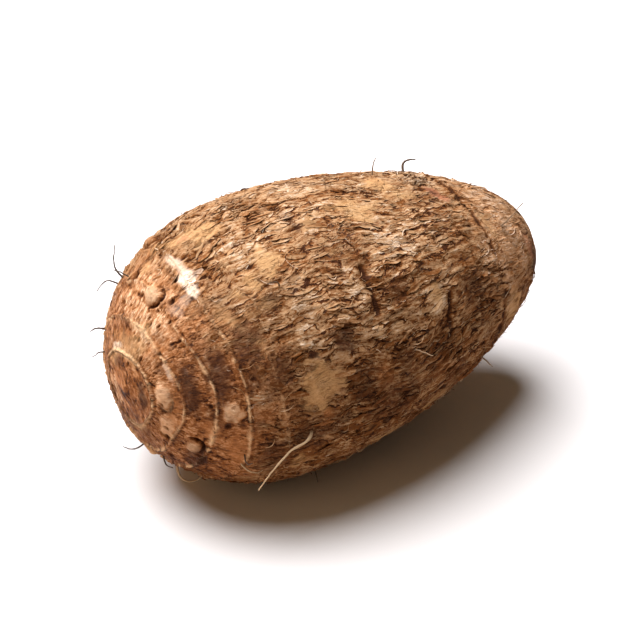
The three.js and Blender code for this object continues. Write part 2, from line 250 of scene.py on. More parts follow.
def smoothstep(low, high, value):
    share = np.clip((value - low) / (high - low), 0, 1)
    return share * share * (3 - 2 * share)


def mix(low, high, share):
    return low + (high - low) * share


def wrap_turn(turn):
    return (turn + 180) % 360 - 180


# Noise and scattered cells
def hashed(cell, seed):
    mixed = cell[..., 0] * 73856093 ^ cell[..., 1] * 19349663 ^ cell[..., 2] * 83492791 ^ seed * 40503
    mixed = (mixed ^ (mixed >> 13)) * 1274126177 & 0xFFFFFFFF
    mixed = (mixed ^ (mixed >> 16)) * 668265263 & 0xFFFFFFFF
    return ((mixed ^ (mixed >> 15)) & 0xFFFFFF) / 0xFFFFFF


def noise(points, seed):
    """Smooth noise, about -1 to 1, at points of shape (n, 3)."""
    cell = np.floor(points).astype(np.int64)
    part = points - cell
    ease = part**3 * (part * (part * 6 - 15) + 10)
    total = np.zeros(len(points))
    for corner in np.ndindex(2, 2, 2):
        step = np.array(corner)
        weight = np.prod(np.where(step == 1, ease, 1 - ease), axis=1)
        slope = np.stack([hashed(cell + step, seed + axis) for axis in range(3)], 1) * 2 - 1
        total += weight * np.sum(slope * (part - step), axis=1)
    return total * 1.9


def nearest_cells(points, seed):
    """Offset from the nearest scattered centre, how much farther the next one is, and the own number."""
    home = np.floor(points).astype(np.int64)
    near = np.full(len(points), 9.0)
    following = near.copy()
    own = np.zeros(len(points))
    offset = np.zeros_like(points)
    for step in np.ndindex(3, 3, 3):
        cell = home + np.array(step) - 1
        centre = cell + np.stack([0.1 + 0.8 * hashed(cell, seed + axis) for axis in range(3)], 1)
        apart = points - centre
        distance = np.linalg.norm(apart, axis=1)
        closer = distance < near
        following = np.where(closer, near, np.minimum(following, distance))
        near = np.where(closer, distance, near)
        own = np.where(closer, hashed(cell, seed + 3), own)
        offset = np.where(closer[:, None], apart, offset)
    return offset, following - near, own


# Plain egg
def egg_radius(latitude):
    cosine = np.cos(np.radians(latitude))
    form = EGG_FORM[0] + EGG_FORM[1] * cosine + EGG_FORM[2] * cosine**2
    return BELLY_RADIUS * np.sin(np.radians(latitude)) * form


def egg_x(latitude):
    return EGG_LENGTH / 2 * (1 - np.cos(np.radians(latitude)))


def egg_slope(latitude):
    """Axial run and radial rise of the skin for one degree of latitude."""
    half = 0.05
    rise = (egg_radius(latitude + half) - egg_radius(latitude - half)) / (2 * half)
    run = (egg_x(latitude + half) - egg_x(latitude - half)) / (2 * half)
    return run, rise


def skin_offset(place, latitude, turn):
    """Millimetres along and around the skin from a place, a pair of latitude and turn."""
    run, rise = egg_slope(place[0])
    along = (latitude - place[0]) * math.hypot(run, rise)
    around = np.radians(wrap_turn(turn - place[1])) * egg_radius(place[0])
    return along, around


def reach(place, latitude, turn, half_along, half_around):
    along, around = skin_offset(place, latitude, turn)
    return np.hypot(along / half_along, around / half_around)


def scar_latitude(k, turn):
    fade = smoothstep(-1, 1.5, k) * (1 - smoothstep(12, 14.4, k))
    slow = -SCAR_WAVE * np.cos(np.radians(3 * turn - 33 * k))
    quick = 0.35 * SCAR_WAVE * np.sin(np.radians(5 * turn + 64 * k))
    return SCAR_FIRST + SCAR_STEP * k + fade * (slow + quick)


def scar_number(latitude, turn):
    k = (latitude - SCAR_FIRST) / SCAR_STEP
    for _ in range(3):
        k = k + (latitude - scar_latitude(k, turn)) / SCAR_STEP
    return k


def outward(latitude, turn):
    run, rise = egg_slope(latitude)
    length = np.hypot(run, rise)
    angle = np.radians(turn)
    return np.stack([-rise / length, -run / length * np.sin(angle), run / length * np.cos(angle)], -1)


def towards_cut(latitude, turn):
    run, rise = egg_slope(latitude)
    length = np.hypot(run, rise)
    angle = np.radians(turn)
    return np.stack([run / length, -rise / length * np.sin(angle), rise / length * np.cos(angle)], -1)


def placed(x, radius, turn):
    angle = np.radians(turn)
    sideways, height = -radius * np.sin(angle), AXIS_HEIGHT + radius * np.cos(angle)
    return np.stack([x - CENTRE_OF_MASS_X, sideways, height], -1)


class Skin:
    """Relief and colour masks of the skin at arrays of scar numbers and turns."""

    def __init__(self, k, turn):
        self.k = k
        self.turn = turn
        self.latitude = scar_latitude(k, turn)
        angle = np.radians(turn)
        sine, cosine = np.sin(angle), np.cos(angle)
        self.tangent = np.stack([-sine, cosine, np.zeros_like(angle)], -1)
        self.grain = np.stack([BELLY_RADIUS * cosine, BELLY_RADIUS * sine, SCAR_STEP * k], -1)
        self.base = placed(egg_x(self.latitude), egg_radius(self.latitude), turn)
        self.ragged = noise(self.base / 2.2, 12)
        self.height = np.zeros_like(k)
        self.masks = {}
        self.stain()
        self.skew_fibres()
        self.raise_scars()
        self.raise_swells()
        self.raise_buds()
        self.sink_pits()
        self.open_cracks()
        # The groove of the far scar joins the painted shade in the hollows
        self.darken("hollow", self.masks.pop("groove"))
        self.roughen_crown()
        self.roughen_bark()
        self.point = self.base + outward(self.latitude, turn) * self.height[:, None]
        self.point[:, 2] = np.maximum(self.point[:, 2], 0)
        self.cover()

    def stretched(self, width, length, seed):
        """Noise whose spots are width across and length along the corm."""
        return noise(self.grain / np.array([width, width, length]), seed)

    def patches(self, places):
        """Ragged patches at places, each a latitude, a turn, two reaches and a strength."""
        share = np.zeros_like(self.k)
        for *place, along, around, strength in places:
            near = reach(place, self.latitude, self.turn, along, around)
            inside = 1 - smoothstep(0.5, 1.25, near + 0.45 * self.ragged)
            share = np.maximum(share, strength * inside)
        return np.clip(share, 0, 1)

    def stain(self):
        satin = 1.3 * bell(wrap_turn(self.turn - 85), 55)
        start = self.k - satin + 0.7 * noise(self.base / 9, 11) + 0.45 * self.ragged
        self.masks["body"] = smoothstep(1.7, 3.6, start)
        drifts = noise(self.base / 13, 14) + 0.35 * noise(self.base / 4, 15)
        worn = 0.75 * smoothstep(0.42, 0.75, drifts - 0.5 * bell(self.turn - 92, 30))
        bare = self.patches(WORN_PATCHES)
        self.masks["worn"] = np.maximum(bare, worn)
        self.masks["scuff"] = self.patches(SCUFFS)
        self.masks["chip"] = self.patches(CHIPS)
        clouds = 0.5 * smoothstep(0.15, 0.8, noise(self.base / 8, 16) + 0.4 * self.ragged)
        clouds *= 1 - 0.6 * bell(self.turn, 50)
        # Dark stains, some of them painted shade, with dark clouds
        self.masks["dark"] = np.maximum(self.patches(DARK_STAINS_AND_SHADE), clouds)
        self.masks["warm"] = self.patches(WARM_STAINS)
        self.masks["pale"] = self.patches(PALE_PLACES)
        # Painted shade: the skin is darkened towards the underside, away from the top
        low = smoothstep(25, 125, np.abs(self.turn) + 12 * noise(self.base / 12, 17))
        self.masks["under"] = low * (0.8 + 0.4 * noise(self.base / 6, 18))
        self.masks["dark"] *= (1 - bare) * (1 - 0.8 * smoothstep(0.6, 1, self.masks["pale"]))
        self.masks["under"] *= 1 - 0.8 * bare
        # Masks of painted shade in hollows and slits, and of the far scar's groove
        for mask in ("hollow", "slit", "groove"):
            self.masks[mask] = np.zeros_like(self.k)

    def skew_fibres(self):
        """Turns the fibres aside here and there, by an angle kept for the pieces that lie on them."""
        lengthwise = np.array([0, 0, 1])
        body = self.masks["body"]
        self.skew = 0.2 * noise(self.base / 8, 91) * body
        for *place, spread, degrees in WHIRLS:
            along, around = skin_offset(place, self.latitude, self.turn)
            skew = math.radians(degrees) * bell(np.hypot(along, around), spread) * body
            self.grain += (skew * around)[:, None] * lengthwise - (skew * along)[:, None] * self.tangent
            self.skew += skew
        drift = body * (0.9 * noise(self.base / 7, 92) + 0.15 * noise(self.base / 2.5, 93))
        self.grain += drift[:, None] * self.tangent
        # On the tip they lie side by side and bow a little
        lean = math.radians(TIP_FIBRE_TURN)
        across = self.base[:, 1] * math.cos(lean) + (self.base[:, 2] - AXIS_HEIGHT) * math.sin(lean)
        along = (self.base[:, 2] - AXIS_HEIGHT) * math.cos(lean) - self.base[:, 1] * math.sin(lean)
        bowed = across - along**2 / TIP_FIBRE_BOW
        tip = 1 - smoothstep(-0.09, -0.02, self.k)
        side_by_side = np.stack([bowed, np.full_like(along, BELLY_RADIUS), along], -1)
        self.grain += (side_by_side - self.grain) * tip[:, None]

    def darken(self, mask, share):
        self.masks[mask] = np.maximum(self.masks[mask], share)

    def raise_scars(self):
        k = self.k
        nearest = np.clip(np.round(k), 0, SCAR_COUNT - 1)
        strength = np.maximum(1 - smoothstep(2.5, 5.5, k), bell(k - FAR_SCAR, 0.8))
        frayed = 0.12 * self.stretched(1.3, 30, 21) + 0.4 * self.stretched(6, 40, 22)
        distance = (k - nearest) * SCAR_STEP + frayed
        broken = smoothstep(-0.75, 0.05, self.stretched(7, 30, 23) + 1.1 * strength - 0.35)
        broken *= 0.7 + 0.4 * self.stretched(2.6, 20, 25)
        width = np.where(distance < 0, RIDGE_RISE, RIDGE_FALL) * (1 + 0.4 * self.stretched(4, 30, 24))
        scar = bell(distance, width) * broken
        far = bell(k - FAR_SCAR, 0.8)
        ragged = distance - 0.9 + 0.3 * far * self.stretched(1.5, 3, 34)
        groove = bell(ragged, 0.35 + 0.4 * far) * np.maximum(broken, 0.9 * far) * strength
        behind = np.mod(k + frayed / SCAR_STEP, 1)
        terrace = mix(FAINT_TERRACE, STRONG_TERRACE, strength) * smoothstep(0, 1, k)
        self.height += scar * mix(FAINT_RIDGE, STRONG_RIDGE, strength) - (0.2 + 0.4 * far) * groove
        self.height += terrace * ((1 - behind) ** 2 - 0.3)
        self.masks["crease"] = bell(distance, 1.3) * smoothstep(0.15, 0.6, strength)
        # The pale line on a ring is broken into dashes, and fades on the body away from the front
        shown = smoothstep(-0.35, 0.45, self.stretched(8, 30, 27) + 0.25)
        shown *= 1 - 0.8 * smoothstep(3.2, 5.2, k)
        facing = bell(wrap_turn(self.turn - 88), 26)
        dashes = smoothstep(-0.22, 0.2, self.stretched(2.6, 9, 28) + 0.3 * facing)
        dashes = mix(mix(0.4, 0.08, smoothstep(1.2, 2.2, k)), 1, dashes)
        front = bell(wrap_turn(self.turn - 72), 50)
        shown *= dashes * mix(1, front, 0.65 * smoothstep(1.6, 2.8, k))
        broad = np.zeros_like(k)
        for ring, middle, spread, extra in BROAD_SCARS:
            broad += extra * bell(wrap_turn(self.turn - middle), spread) * (nearest == ring)
        wide = 0.3 + 0.34 * smoothstep(-0.1, 0.7, self.stretched(7, 30, 29)) + broad
        shown = np.maximum(shown, 0.8 * smoothstep(0.1, 0.6, broad))
        torn = distance + 0.22 * self.stretched(0.8, 1.6, 30) * (1 + broad)
        whole = np.maximum(broken, smoothstep(0.1, 0.6, broad))
        line = bell(torn, wide) * whole * shown * mix(0.3, 1, strength)
        self.masks["scar"] = np.clip(1.25 * line, 0, 1)
        # Painted shade in the groove behind the scar
        self.darken("slit", np.clip(0.6 * groove, 0, 1))
        self.masks["groove"] = far * groove

    def raise_swells(self):
        self.height += TIP_BUD_HEIGHT * bell(egg_radius(self.latitude), TIP_BUD_RADIUS)
        for *place, along_reach, around_reach, height in SWELLS:
            along, around = skin_offset(place, self.latitude, self.turn)
            self.height += height * bell(along, along_reach) * bell(around, around_reach)

    def raise_buds(self):
        self.masks["bud"] = np.zeros_like(self.k)
        for *place, half_along, half_around, height, depth, side, outline in SIDE_BUDS:
            along, around = skin_offset(place, self.latitude, self.turn)
            near = np.hypot(along / half_along, around / half_around)
            near = near + 0.12 * self.ragged
            dome = np.clip(1 - near**2, 0, 1) ** 0.8
            towards = math.cos(math.radians(side)) * along / half_along
            towards += math.sin(math.radians(side)) * around / half_around
            lean = smoothstep(-0.3, 0.8, towards)
            crescent = bell(near - 1.1, 0.14) * lean
            lip = 0.25 * bell(near - 1.4, 0.2) * lean
            # Two scale leaves wrap the bud, each ending in a small step
            scales = 0.16 * smoothstep(-0.2, -0.05, along / half_along - 0.35 * (around / half_around) ** 2)
            self.height += (height - scales) * dome - depth * crescent + lip
            self.darken("bud", smoothstep(0, 0.8, dome))
            # Painted shadow in the crescent beside the bud
            self.darken("hollow", 0.9 * crescent * min(1, depth))
            self.darken("scar", outline * bell(near - 1.05, 0.09) * mix(0.3, 1, lean))

    def sink_pits(self):
        strokes = tuple((*place, *STROKE_SIZE) for place in STROKES)
        for *place, half_along, half_around, depth in PITS + strokes + small_pits():
            near = reach(place, self.latitude, self.turn, half_along, half_around)
            dent = bell(near + 0.15 * self.ragged, 0.8)
            self.height += 0.2 * depth * bell(near - 1.35, 0.3) - depth * dent
            # Painted shade in the pits and strokes
            self.darken("hollow", dent)

    def open_cracks(self):
        for scar, first, last, depth in CRACKS:
            share = np.abs(wrap_turn(self.turn - (first + last) / 2)) / ((last - first) / 2)
            gap = bell((self.k - scar) * SCAR_STEP + 0.5 * self.stretched(3, 40, 26), CRACK_WIDTH)
            gap *= 1 - smoothstep(0.7, 1, share)
            self.height -= depth * gap
            # Painted shade in the crack
            self.darken("hollow", gap)
            near = bell((self.k - scar) * SCAR_STEP, 3 * CRACK_WIDTH) * (1 - smoothstep(0.9, 1.2, share))
            self.darken("crease", near)

    def roughen_crown(self):
        """Satin skin round the shoot: fine fibres, thin layers that end in steps, and dark strokes."""
        crown = 1 - self.masks["body"]
        layers = 2.2 * self.stretched(9, 6, 43) + 0.8 * self.stretched(3, 2.5, 44)
        steps = np.floor(layers) + smoothstep(0.7, 1, layers - np.floor(layers))
        strokes = 1 - smoothstep(0, 0.13, np.abs(self.stretched(2.8, 4.6, 45)))
        strokes *= crown * smoothstep(0.0, 0.3, self.stretched(4.0, 4.0, 46))
        self.height += crown * (0.06 * self.stretched(2.0, 5, 41) + 0.04 * self.stretched(0.9, 3, 42))
        self.height += crown * 0.11 * steps - 0.22 * strokes
        # Painted shade in the dents of the strokes
        self.darken("slit", strokes)

    def roughen_bark(self):
        k, turn = self.k, self.turn
        body, worn = self.masks["body"], self.masks["worn"]
        end = 1 - smoothstep(13.4, 14.2, k)
        coarse = np.sin(np.radians(BARK_RIDGES * turn + 95 * np.sin(1.9 * k)))
        broken = np.cos(np.radians(430 * k + 4 * turn + 60 * np.sin(np.radians(3 * turn))))
        cross = 0.5 * np.sin(np.radians(11 * turn - 260 * k))
        rough = body * (1 - 0.85 * worn) * end * mix(1, 0.5, smoothstep(11.1, 11.6, k))
        self.height += 0.45 * BARK_DEPTH * body * end * (coarse * broken + cross)
        self.height += 0.22 * rough * self.stretched(3.2, 8, 31)
        self.height += 0.12 * rough * self.stretched(0.95, 3.0, 35)
        self.height += 0.1 * noise(self.base / 5, 36) + 0.05 * (1 - worn) * noise(self.base / 1.4, 37)
        self.masks["lip"] = np.zeros_like(k)
        self.masks["flake"] = np.full_like(k, 0.5)
        self.split_bark(rough, 2.3, 5.6, 0.62, 60)
        self.split_bark(rough, 1.5, 3.6, 0.36, 70)

    def split_bark(self, rough, width, length, step, seed):
        """Flakes of bark whose lower edge stands off the skin, with painted shade in the gap under it and a
        lip painted pale, partly rubbed and partly as highlight.
        """
        wander = 0.22 * self.stretched(1.5, 3.4, seed) + 0.3 * self.stretched(4, 7, seed + 1)
        place = self.grain / np.array([width, width, length]) + wander[:, None] * self.tangent
        place[:, 2] += 0.5 * self.stretched(2.5, 5, seed + 2)
        offset, gap, own = nearest_cells(place, seed + 3)
        centre_side = np.where((place - offset)[:, 1] > 0, 1, -1)
        across = np.sum(offset * self.tangent, axis=1) * centre_side
        zone = smoothstep(-0.5, 0.35, noise(self.base / 9, seed + 7))
        loose = rough * zone * smoothstep(0.1, 0.75, own)
        edge = 1 - smoothstep(0.02, 0.3, gap)
        self.height += step * loose * across
        # Painted shadow in the gap under the raised edge; the lip along it is painted pale, partly rubbed
        # and partly as highlight
        self.darken("slit", loose * edge * smoothstep(0.1, -0.2, across) * min(1, 3 * step))
        self.darken("lip", loose * edge * smoothstep(0.1, 0.4, across) * min(1, 2 * step))
        self.masks["flake"] += 0.5 * rough * (own * 7 % 1 - 0.5)

    def cover(self):
        """How much of the skin carries loose bark, and how much is free of the floor and the cut."""
        masks = self.masks
        free = smoothstep(0.5, 2.0, self.point[:, 2]) * (1 - smoothstep(14.0, 14.16, self.k))
        bare = 1
        for mask, share in (("crease", 0.85), ("worn", 0.95), ("chip", 0.97), ("scuff", 0.9)):
            bare = bare * (1 - share * masks[mask])
        zone = mix(0.2, 1, smoothstep(-0.35, 0.3, noise(self.base / 8, 81)))
        masks["shag"] = masks["body"] * bare * zone * free * mix(1, 0.45, smoothstep(11.1, 11.6, self.k))
        masks["shag"] *= 1 - masks["hollow"]
        masks["side"] = np.where(self.turn > 0, -1.0, 1.0)
        masks["fringe"] = masks["scar"] * smoothstep(1.6, 3.4, self.k) * free * (1 - masks["scuff"])
        masks["hair"] = free * mix(0.12, 1.0, masks["body"]) * (1 - 0.7 * masks["worn"])
        low = smoothstep(20, 100, np.abs(self.turn)) * (1 - smoothstep(150, 175, np.abs(self.turn)))
        masks["tangle"] = free * smoothstep(1.8, 3.2, self.k) * mix(0.2, 1, low) * bare


def small_pits():
    """Pin-prick pits scattered over the crown and, fewer, over the body."""
    random = np.random.default_rng(SEED)
    pits = []
    for number in range(SMALL_PITS):
        first, spread = (16, 34) if number < SMALL_CROWN_PITS else (50, 90)
        latitude = first + spread * random.random()
        turn = 360 * random.random() - 180
        size = 0.35 + 0.45 * random.random()
        pits.append((latitude, turn, size, size * (0.8 + 0.6 * random.random()), 0.5 + 0.4 * size))
    return tuple(pits)


# Meshes
def mesh_object(name, points_mm, faces=(), edges=()):
    mesh = bpy.data.meshes.new(name)
    mesh.from_pydata((np.asarray(points_mm) * MM).tolist(), list(edges), list(faces))
    mesh.validate()
    mesh.shade_smooth()
    thing = bpy.data.objects.new(name, mesh)
    bpy.context.scene.collection.objects.link(thing)
    return thing


def set_values(thing, name, values):
    attribute = thing.data.attributes.new(name, "FLOAT", "POINT")
    attribute.data.foreach_set("value", np.asarray(values, np.float32))


def set_vectors(thing, name, vectors):
    attribute = thing.data.attributes.new(name, "FLOAT_VECTOR", "POINT")
    attribute.data.foreach_set("vector", np.asarray(vectors, np.float32).ravel())


def skin_rows():
    """Scar numbers of the mesh's rows, closer together round the scars and all over the crown."""
    rows = list(np.linspace(-1.2, -0.16, TIP_ROWS))
    for scar in range(SCAR_COUNT):
        crown = scar < CROWN_SCARS
        at_scar = CROWN_SCAR_ROWS if crown else BODY_SCAR_ROWS
        between = CROWN_ROWS_BETWEEN if crown else BODY_ROWS_BETWEEN
        rows += [scar + step / SCAR_STEP for step in at_scar]
        first = scar + at_scar[-1] / SCAR_STEP
        following = CROWN_SCAR_ROWS if scar + 1 < CROWN_SCARS else BODY_SCAR_ROWS
        last = scar + 1 + following[0] / SCAR_STEP
        rows += list(np.linspace(first, last, between + 2)[1:-1])
    end = (CUT_LATITUDE - SCAR_FIRST) / SCAR_STEP
    return [row for row in rows if row < end - 0.03] + [end]


def columns_at(radius):
    for least, columns in COLUMN_STEPS:
        if radius >= least:
            return columns


def stitched(first, first_count, second, second_count):
    """Faces between two rings of vertices, where one may have twice the vertices of the other."""
    faces = []
    if first_count == second_count:
        for column in range(first_count):
            following = (column + 1) % first_count
            faces.append((first + column, first + following, second + following, second + column))
    elif second_count == 2 * first_count:
        for column in range(first_count):
            near, far = first + column, first + (column + 1) % first_count
            low, middle = second + 2 * column, second + 2 * column + 1
            high = second + (2 * column + 2) % second_count
            faces += [(near, middle, low), (near, far, middle), (far, high, middle)]
    else:
        for column in range(second_count):
            near, far = second + column, second + (column + 1) % second_count
            low, middle = first + 2 * column, first + 2 * column + 1
            high = first + (2 * column + 2) % first_count
            faces += [(near, low, middle), (near, middle, far), (far, middle, high)]
    return faces


def ring_turns(count):
    return wrap_turn(180 + 360 * np.arange(count) / count)


def build_skin():
    rows = skin_rows()
    counts = [columns_at(float(egg_radius(SCAR_FIRST + SCAR_STEP * row))) for row in rows]
    k = np.concatenate([np.full(count, row) for row, count in zip(rows, counts)])
    turn = np.concatenate([ring_turns(count) for count in counts])
    skin = Skin(k, turn)
    points = [skin.point]
    # The rim of the cut turns in and down to a closed floor under the flesh
    rim_count = counts[-1]
    rim = skin.point[-rim_count:]
    spoke = (np.array([0, 0, AXIS_HEIGHT]) - rim) * np.array([0, 1, 1])
    spoke /= np.linalg.norm(spoke, axis=1)[:, None]
    for inward, back in RIM_RINGS:
        points.append(rim + spoke * inward - np.array([back, 0, 0]))
        counts.append(rim_count)
    starts = [int(start) for start in np.concatenate([[0], np.cumsum(counts)])]
    faces = []
    for ring in range(len(counts) - 1):
        faces += stitched(starts[ring], counts[ring], starts[ring + 1], counts[ring + 1])
    tip, floor_centre = starts[-1], starts[-1] + 1
    cut_x = float(rim[:, 0].mean()) - RIM_RINGS[-1][1]
    points.append([[-CENTRE_OF_MASS_X - TIP_BUD_HEIGHT, 0, AXIS_HEIGHT], [cut_x, 0, AXIS_HEIGHT]])
    faces += [(tip, (column + 1) % counts[0], column) for column in range(counts[0])]
    last = starts[-2]
    faces += [(last + column, last + (column + 1) % rim_count, floor_centre) for column in range(rim_count)]
    thing = mesh_object("corm_skin", np.concatenate(points), faces)
    extra = len(thing.data.vertices) - len(k)
    for name, values in skin.masks.items():
        inside = 1.0 if name == "body" else 0.0
        set_values(thing, name, np.concatenate([values, np.full(extra, inside)]))
    grain_end = np.tile([[0, 0, SCAR_STEP * SCAR_COUNT]], (extra, 1))
    set_vectors(thing, "grain", np.concatenate([skin.grain, grain_end]))
    lengthwise = towards_cut(skin.latitude, turn)
    sideways = np.cross(outward(skin.latitude, turn), lengthwise)
    lengthwise = lengthwise * np.cos(skin.skew)[:, None] - sideways * np.sin(skin.skew)[:, None]
    set_vectors(thing, "along", np.concatenate([lengthwise, np.tile([[1, 0, 0]], (extra, 1))]))
    return thing, rim


# Node trees
class Tree:
    """Adds nodes to a tree. An input takes a plain value, or a socket to link."""

    def __init__(self, tree):
        self.tree = tree

    def add(self, kind, inputs=None, **settings):
        node = self.tree.nodes.new(kind)
        for name, value in settings.items():
            setattr(node, name, value)
        for key, value in (inputs or {}).items():
            self.feed(node.inputs[key], value)
        return node

    def feed(self, socket, value):
        if isinstance(value, bpy.types.NodeSocket):
            self.tree.links.new(value, socket)
        else:
            socket.default_value = value

    def math(self, operation, first, second=0.0, third=0.0, clamp=False):
        node = self.add("ShaderNodeMath", {0: first, 1: second, 2: third}, operation=operation)
        node.use_clamp = clamp
        return node.outputs[0]

    def times(self, first, second, clamp=False):
        return self.math("MULTIPLY", first, second, clamp=clamp)

    def inverse(self, value):
        return self.math("SUBTRACT", 1.0, value)

    def vector_math(self, operation, first, second=(0, 0, 0), output=0):
        return self.add("ShaderNodeVectorMath", {0: first, 1: second}, operation=operation).outputs[output]

    def axes(self, vector):
        return self.add("ShaderNodeSeparateXYZ", {0: vector}).outputs

    def combine(self, x=0.0, y=0.0, z=0.0):
        return self.add("ShaderNodeCombineXYZ", {0: x, 1: y, 2: z}).outputs[0]

    def weighted_sum(self, start, *terms):
        total = start
        for value, weight in terms:
            total = self.math("MULTIPLY_ADD", value, weight, total)
        return total

    def ramp(self, value, low, high):
        limits = {"Value": value, "From Min": low, "From Max": high}
        return self.add("ShaderNodeMapRange", limits, interpolation_type="SMOOTHSTEP").outputs[0]

    def blend(self, share, under, over):
        node = self.add("ShaderNodeMix", data_type="RGBA")
        for socket, value in ((0, share), (6, under), (7, over)):
            self.feed(node.inputs[socket], value)
        return node.outputs[2]

    def noise(self, place, scale, detail=2.0, roughness=0.5):
        settings = {"Vector": place, "Scale": scale, "Detail": detail, "Roughness": roughness}
        return self.add("ShaderNodeTexNoise", settings).outputs[0]

    def wander(self, inputs, **settings):
        """Noise in three directions, each about -0.5 to 0.5."""
        cloud = self.add("ShaderNodeTexNoise", inputs, **settings).outputs["Color"]
        return self.vector_math("SUBTRACT", cloud, (0.5, 0.5, 0.5))

    def place_group(self, group, values):
        node = self.add("ShaderNodeGroup", node_tree=group)
        for name, value in values.items():
            self.feed(node.inputs[name], value)
        return node.outputs

    def attribute(self, name, output="Fac"):
        return self.add("ShaderNodeAttribute", attribute_name=name).outputs[output]

    # For geometry trees
    def named(self, name, kind="FLOAT"):
        return self.add("GeometryNodeInputNamedAttribute", {"Name": name}, data_type=kind).outputs[0]

    def store(self, geometry, name, value, kind="FLOAT", domain="POINT"):
        inputs = {"Geometry": geometry, "Name": name, "Value": value}
        return self.add("GeometryNodeStoreNamedAttribute", inputs, data_type=kind, domain=domain).outputs[0]

    def moved(self, geometry, offset):
        return self.add("GeometryNodeSetPosition", {"Geometry": geometry, "Offset": offset}).outputs[0]

    def swept(self, path, outline, size):
        inputs = {"Curve": path, "Profile Curve": outline, "Scale": size, "Fill Caps": True}
        return self.add("GeometryNodeCurveToMesh", inputs).outputs[0]

    def made_real(self, geometry, material):
        real = self.add("GeometryNodeRealizeInstances", {0: geometry}).outputs[0]
        return self.add("GeometryNodeSetMaterial", {"Geometry": real, "Material": material}).outputs[0]


def new_group(name, kind, inputs, outputs):
    """Empty node group with named sockets: (name, socket type, default) and (name, socket type)."""
    group = bpy.data.node_groups.new(name, kind)
    for label, socket, default in inputs:
        made = group.interface.new_socket(label, in_out="INPUT", socket_type=socket)
        if default is not None:
            made.default_value = default
    for label, socket in outputs:
        group.interface.new_socket(label, in_out="OUTPUT", socket_type=socket)
    tree = Tree(group)
    return group, tree, tree.add("NodeGroupInput").outputs, tree.add("NodeGroupOutput").inputs


FLOAT = "NodeSocketFloat"
INTEGER = "NodeSocketInt"
TEXT = "NodeSocketString"
VECTOR = "NodeSocketVector"
COLOUR = "NodeSocketColor"
GEOMETRY = "NodeSocketGeometry"
MATERIAL = "NodeSocketMaterial"


# Colours of the bark from the bottom of a gap to a rubbed edge, for the rough body and the satin crown. The
# darkest shows mostly where painted shade lowers the tone
BODY_COLOURS = {"Gap": (0.040, 0.011, 0.003, 1), "Brown": (0.165, 0.053, 0.012, 1),
                "Tan": (0.375, 0.200, 0.090, 1), "Pale": (0.66, 0.475, 0.32, 1)}
CROWN_COLOURS = {"Gap": (0.042, 0.011, 0.003, 1), "Brown": (0.205, 0.064, 0.015, 1),
                 "Tan": (0.43, 0.187, 0.075, 1), "Pale": (0.70, 0.44, 0.25, 1)}
ROOTLET_COLOURS = {"Gap": (0.030, 0.020, 0.014, 1), "Brown": (0.085, 0.052, 0.032, 1),
                   "Tan": (0.24, 0.145, 0.078, 1), "Pale": (0.46, 0.30, 0.165, 1)}
FLESH_COLOURS = {"Gap": (0.36, 0.20, 0.09, 1), "Brown": (0.62, 0.44, 0.26, 1),
                 "Tan": (0.78, 0.64, 0.46, 1), "Pale": (0.88, 0.79, 0.66, 1)}
RIDGE_COLOUR = (0.80, 0.485, 0.245, 1)
RUSSET = (0.42, 0.155, 0.050, 1)
# Umber for dark stains and for painted shade
UMBER_STAIN_AND_SHADE = (0.060, 0.019, 0.007, 1)
WORN_TAN = (0.50, 0.265, 0.105, 1)
LILAC_DUST = (0.82, 0.60, 0.42, 1)
CHIP_RED = (0.40, 0.15, 0.07, 1)
TONE_STEPS = (("Brown", 0.12, 0.38), ("Tan", 0.36, 0.62), ("Pale", 0.58, 0.9))

# Stains from the lowest up: mask, even share, share that follows the grain, colour. The dark layer holds
# painted shade as well as stains
STAIN_LAYERS = (
    ("Warm", 0.0425, 1.19, RUSSET),
    ("Worn", 0.0425, 1.19, WORN_TAN),
    ("Dark", 1.2, -0.75, UMBER_STAIN_AND_SHADE),
    ("Chip", 0.45, 0.8, CHIP_RED),
)
WEATHER = tuple(layer[0] for layer in STAIN_LAYERS) + ("Scuff",)


# Shader groups, each used by several materials
def fibre_grain_group():
    """Streaks that run along the fibres: Width across and Length along them, in units of Place."""
    group, tree, given, made = new_group(
        "fibre_grain", "ShaderNodeTree",
        [("Place", VECTOR, None), ("Width", FLOAT, 1.0), ("Length", FLOAT, 4.0)],
        [("Value", FLOAT)])
    across = tree.math("DIVIDE", 1.0, given["Width"])
    scale = tree.combine(across, across, tree.math("DIVIDE", 1.0, given["Length"]))
    place = tree.vector_math("MULTIPLY", given["Place"], scale)
    tree.feed(made["Value"], tree.noise(place, 1.0, 3.0, 0.6))
    return group


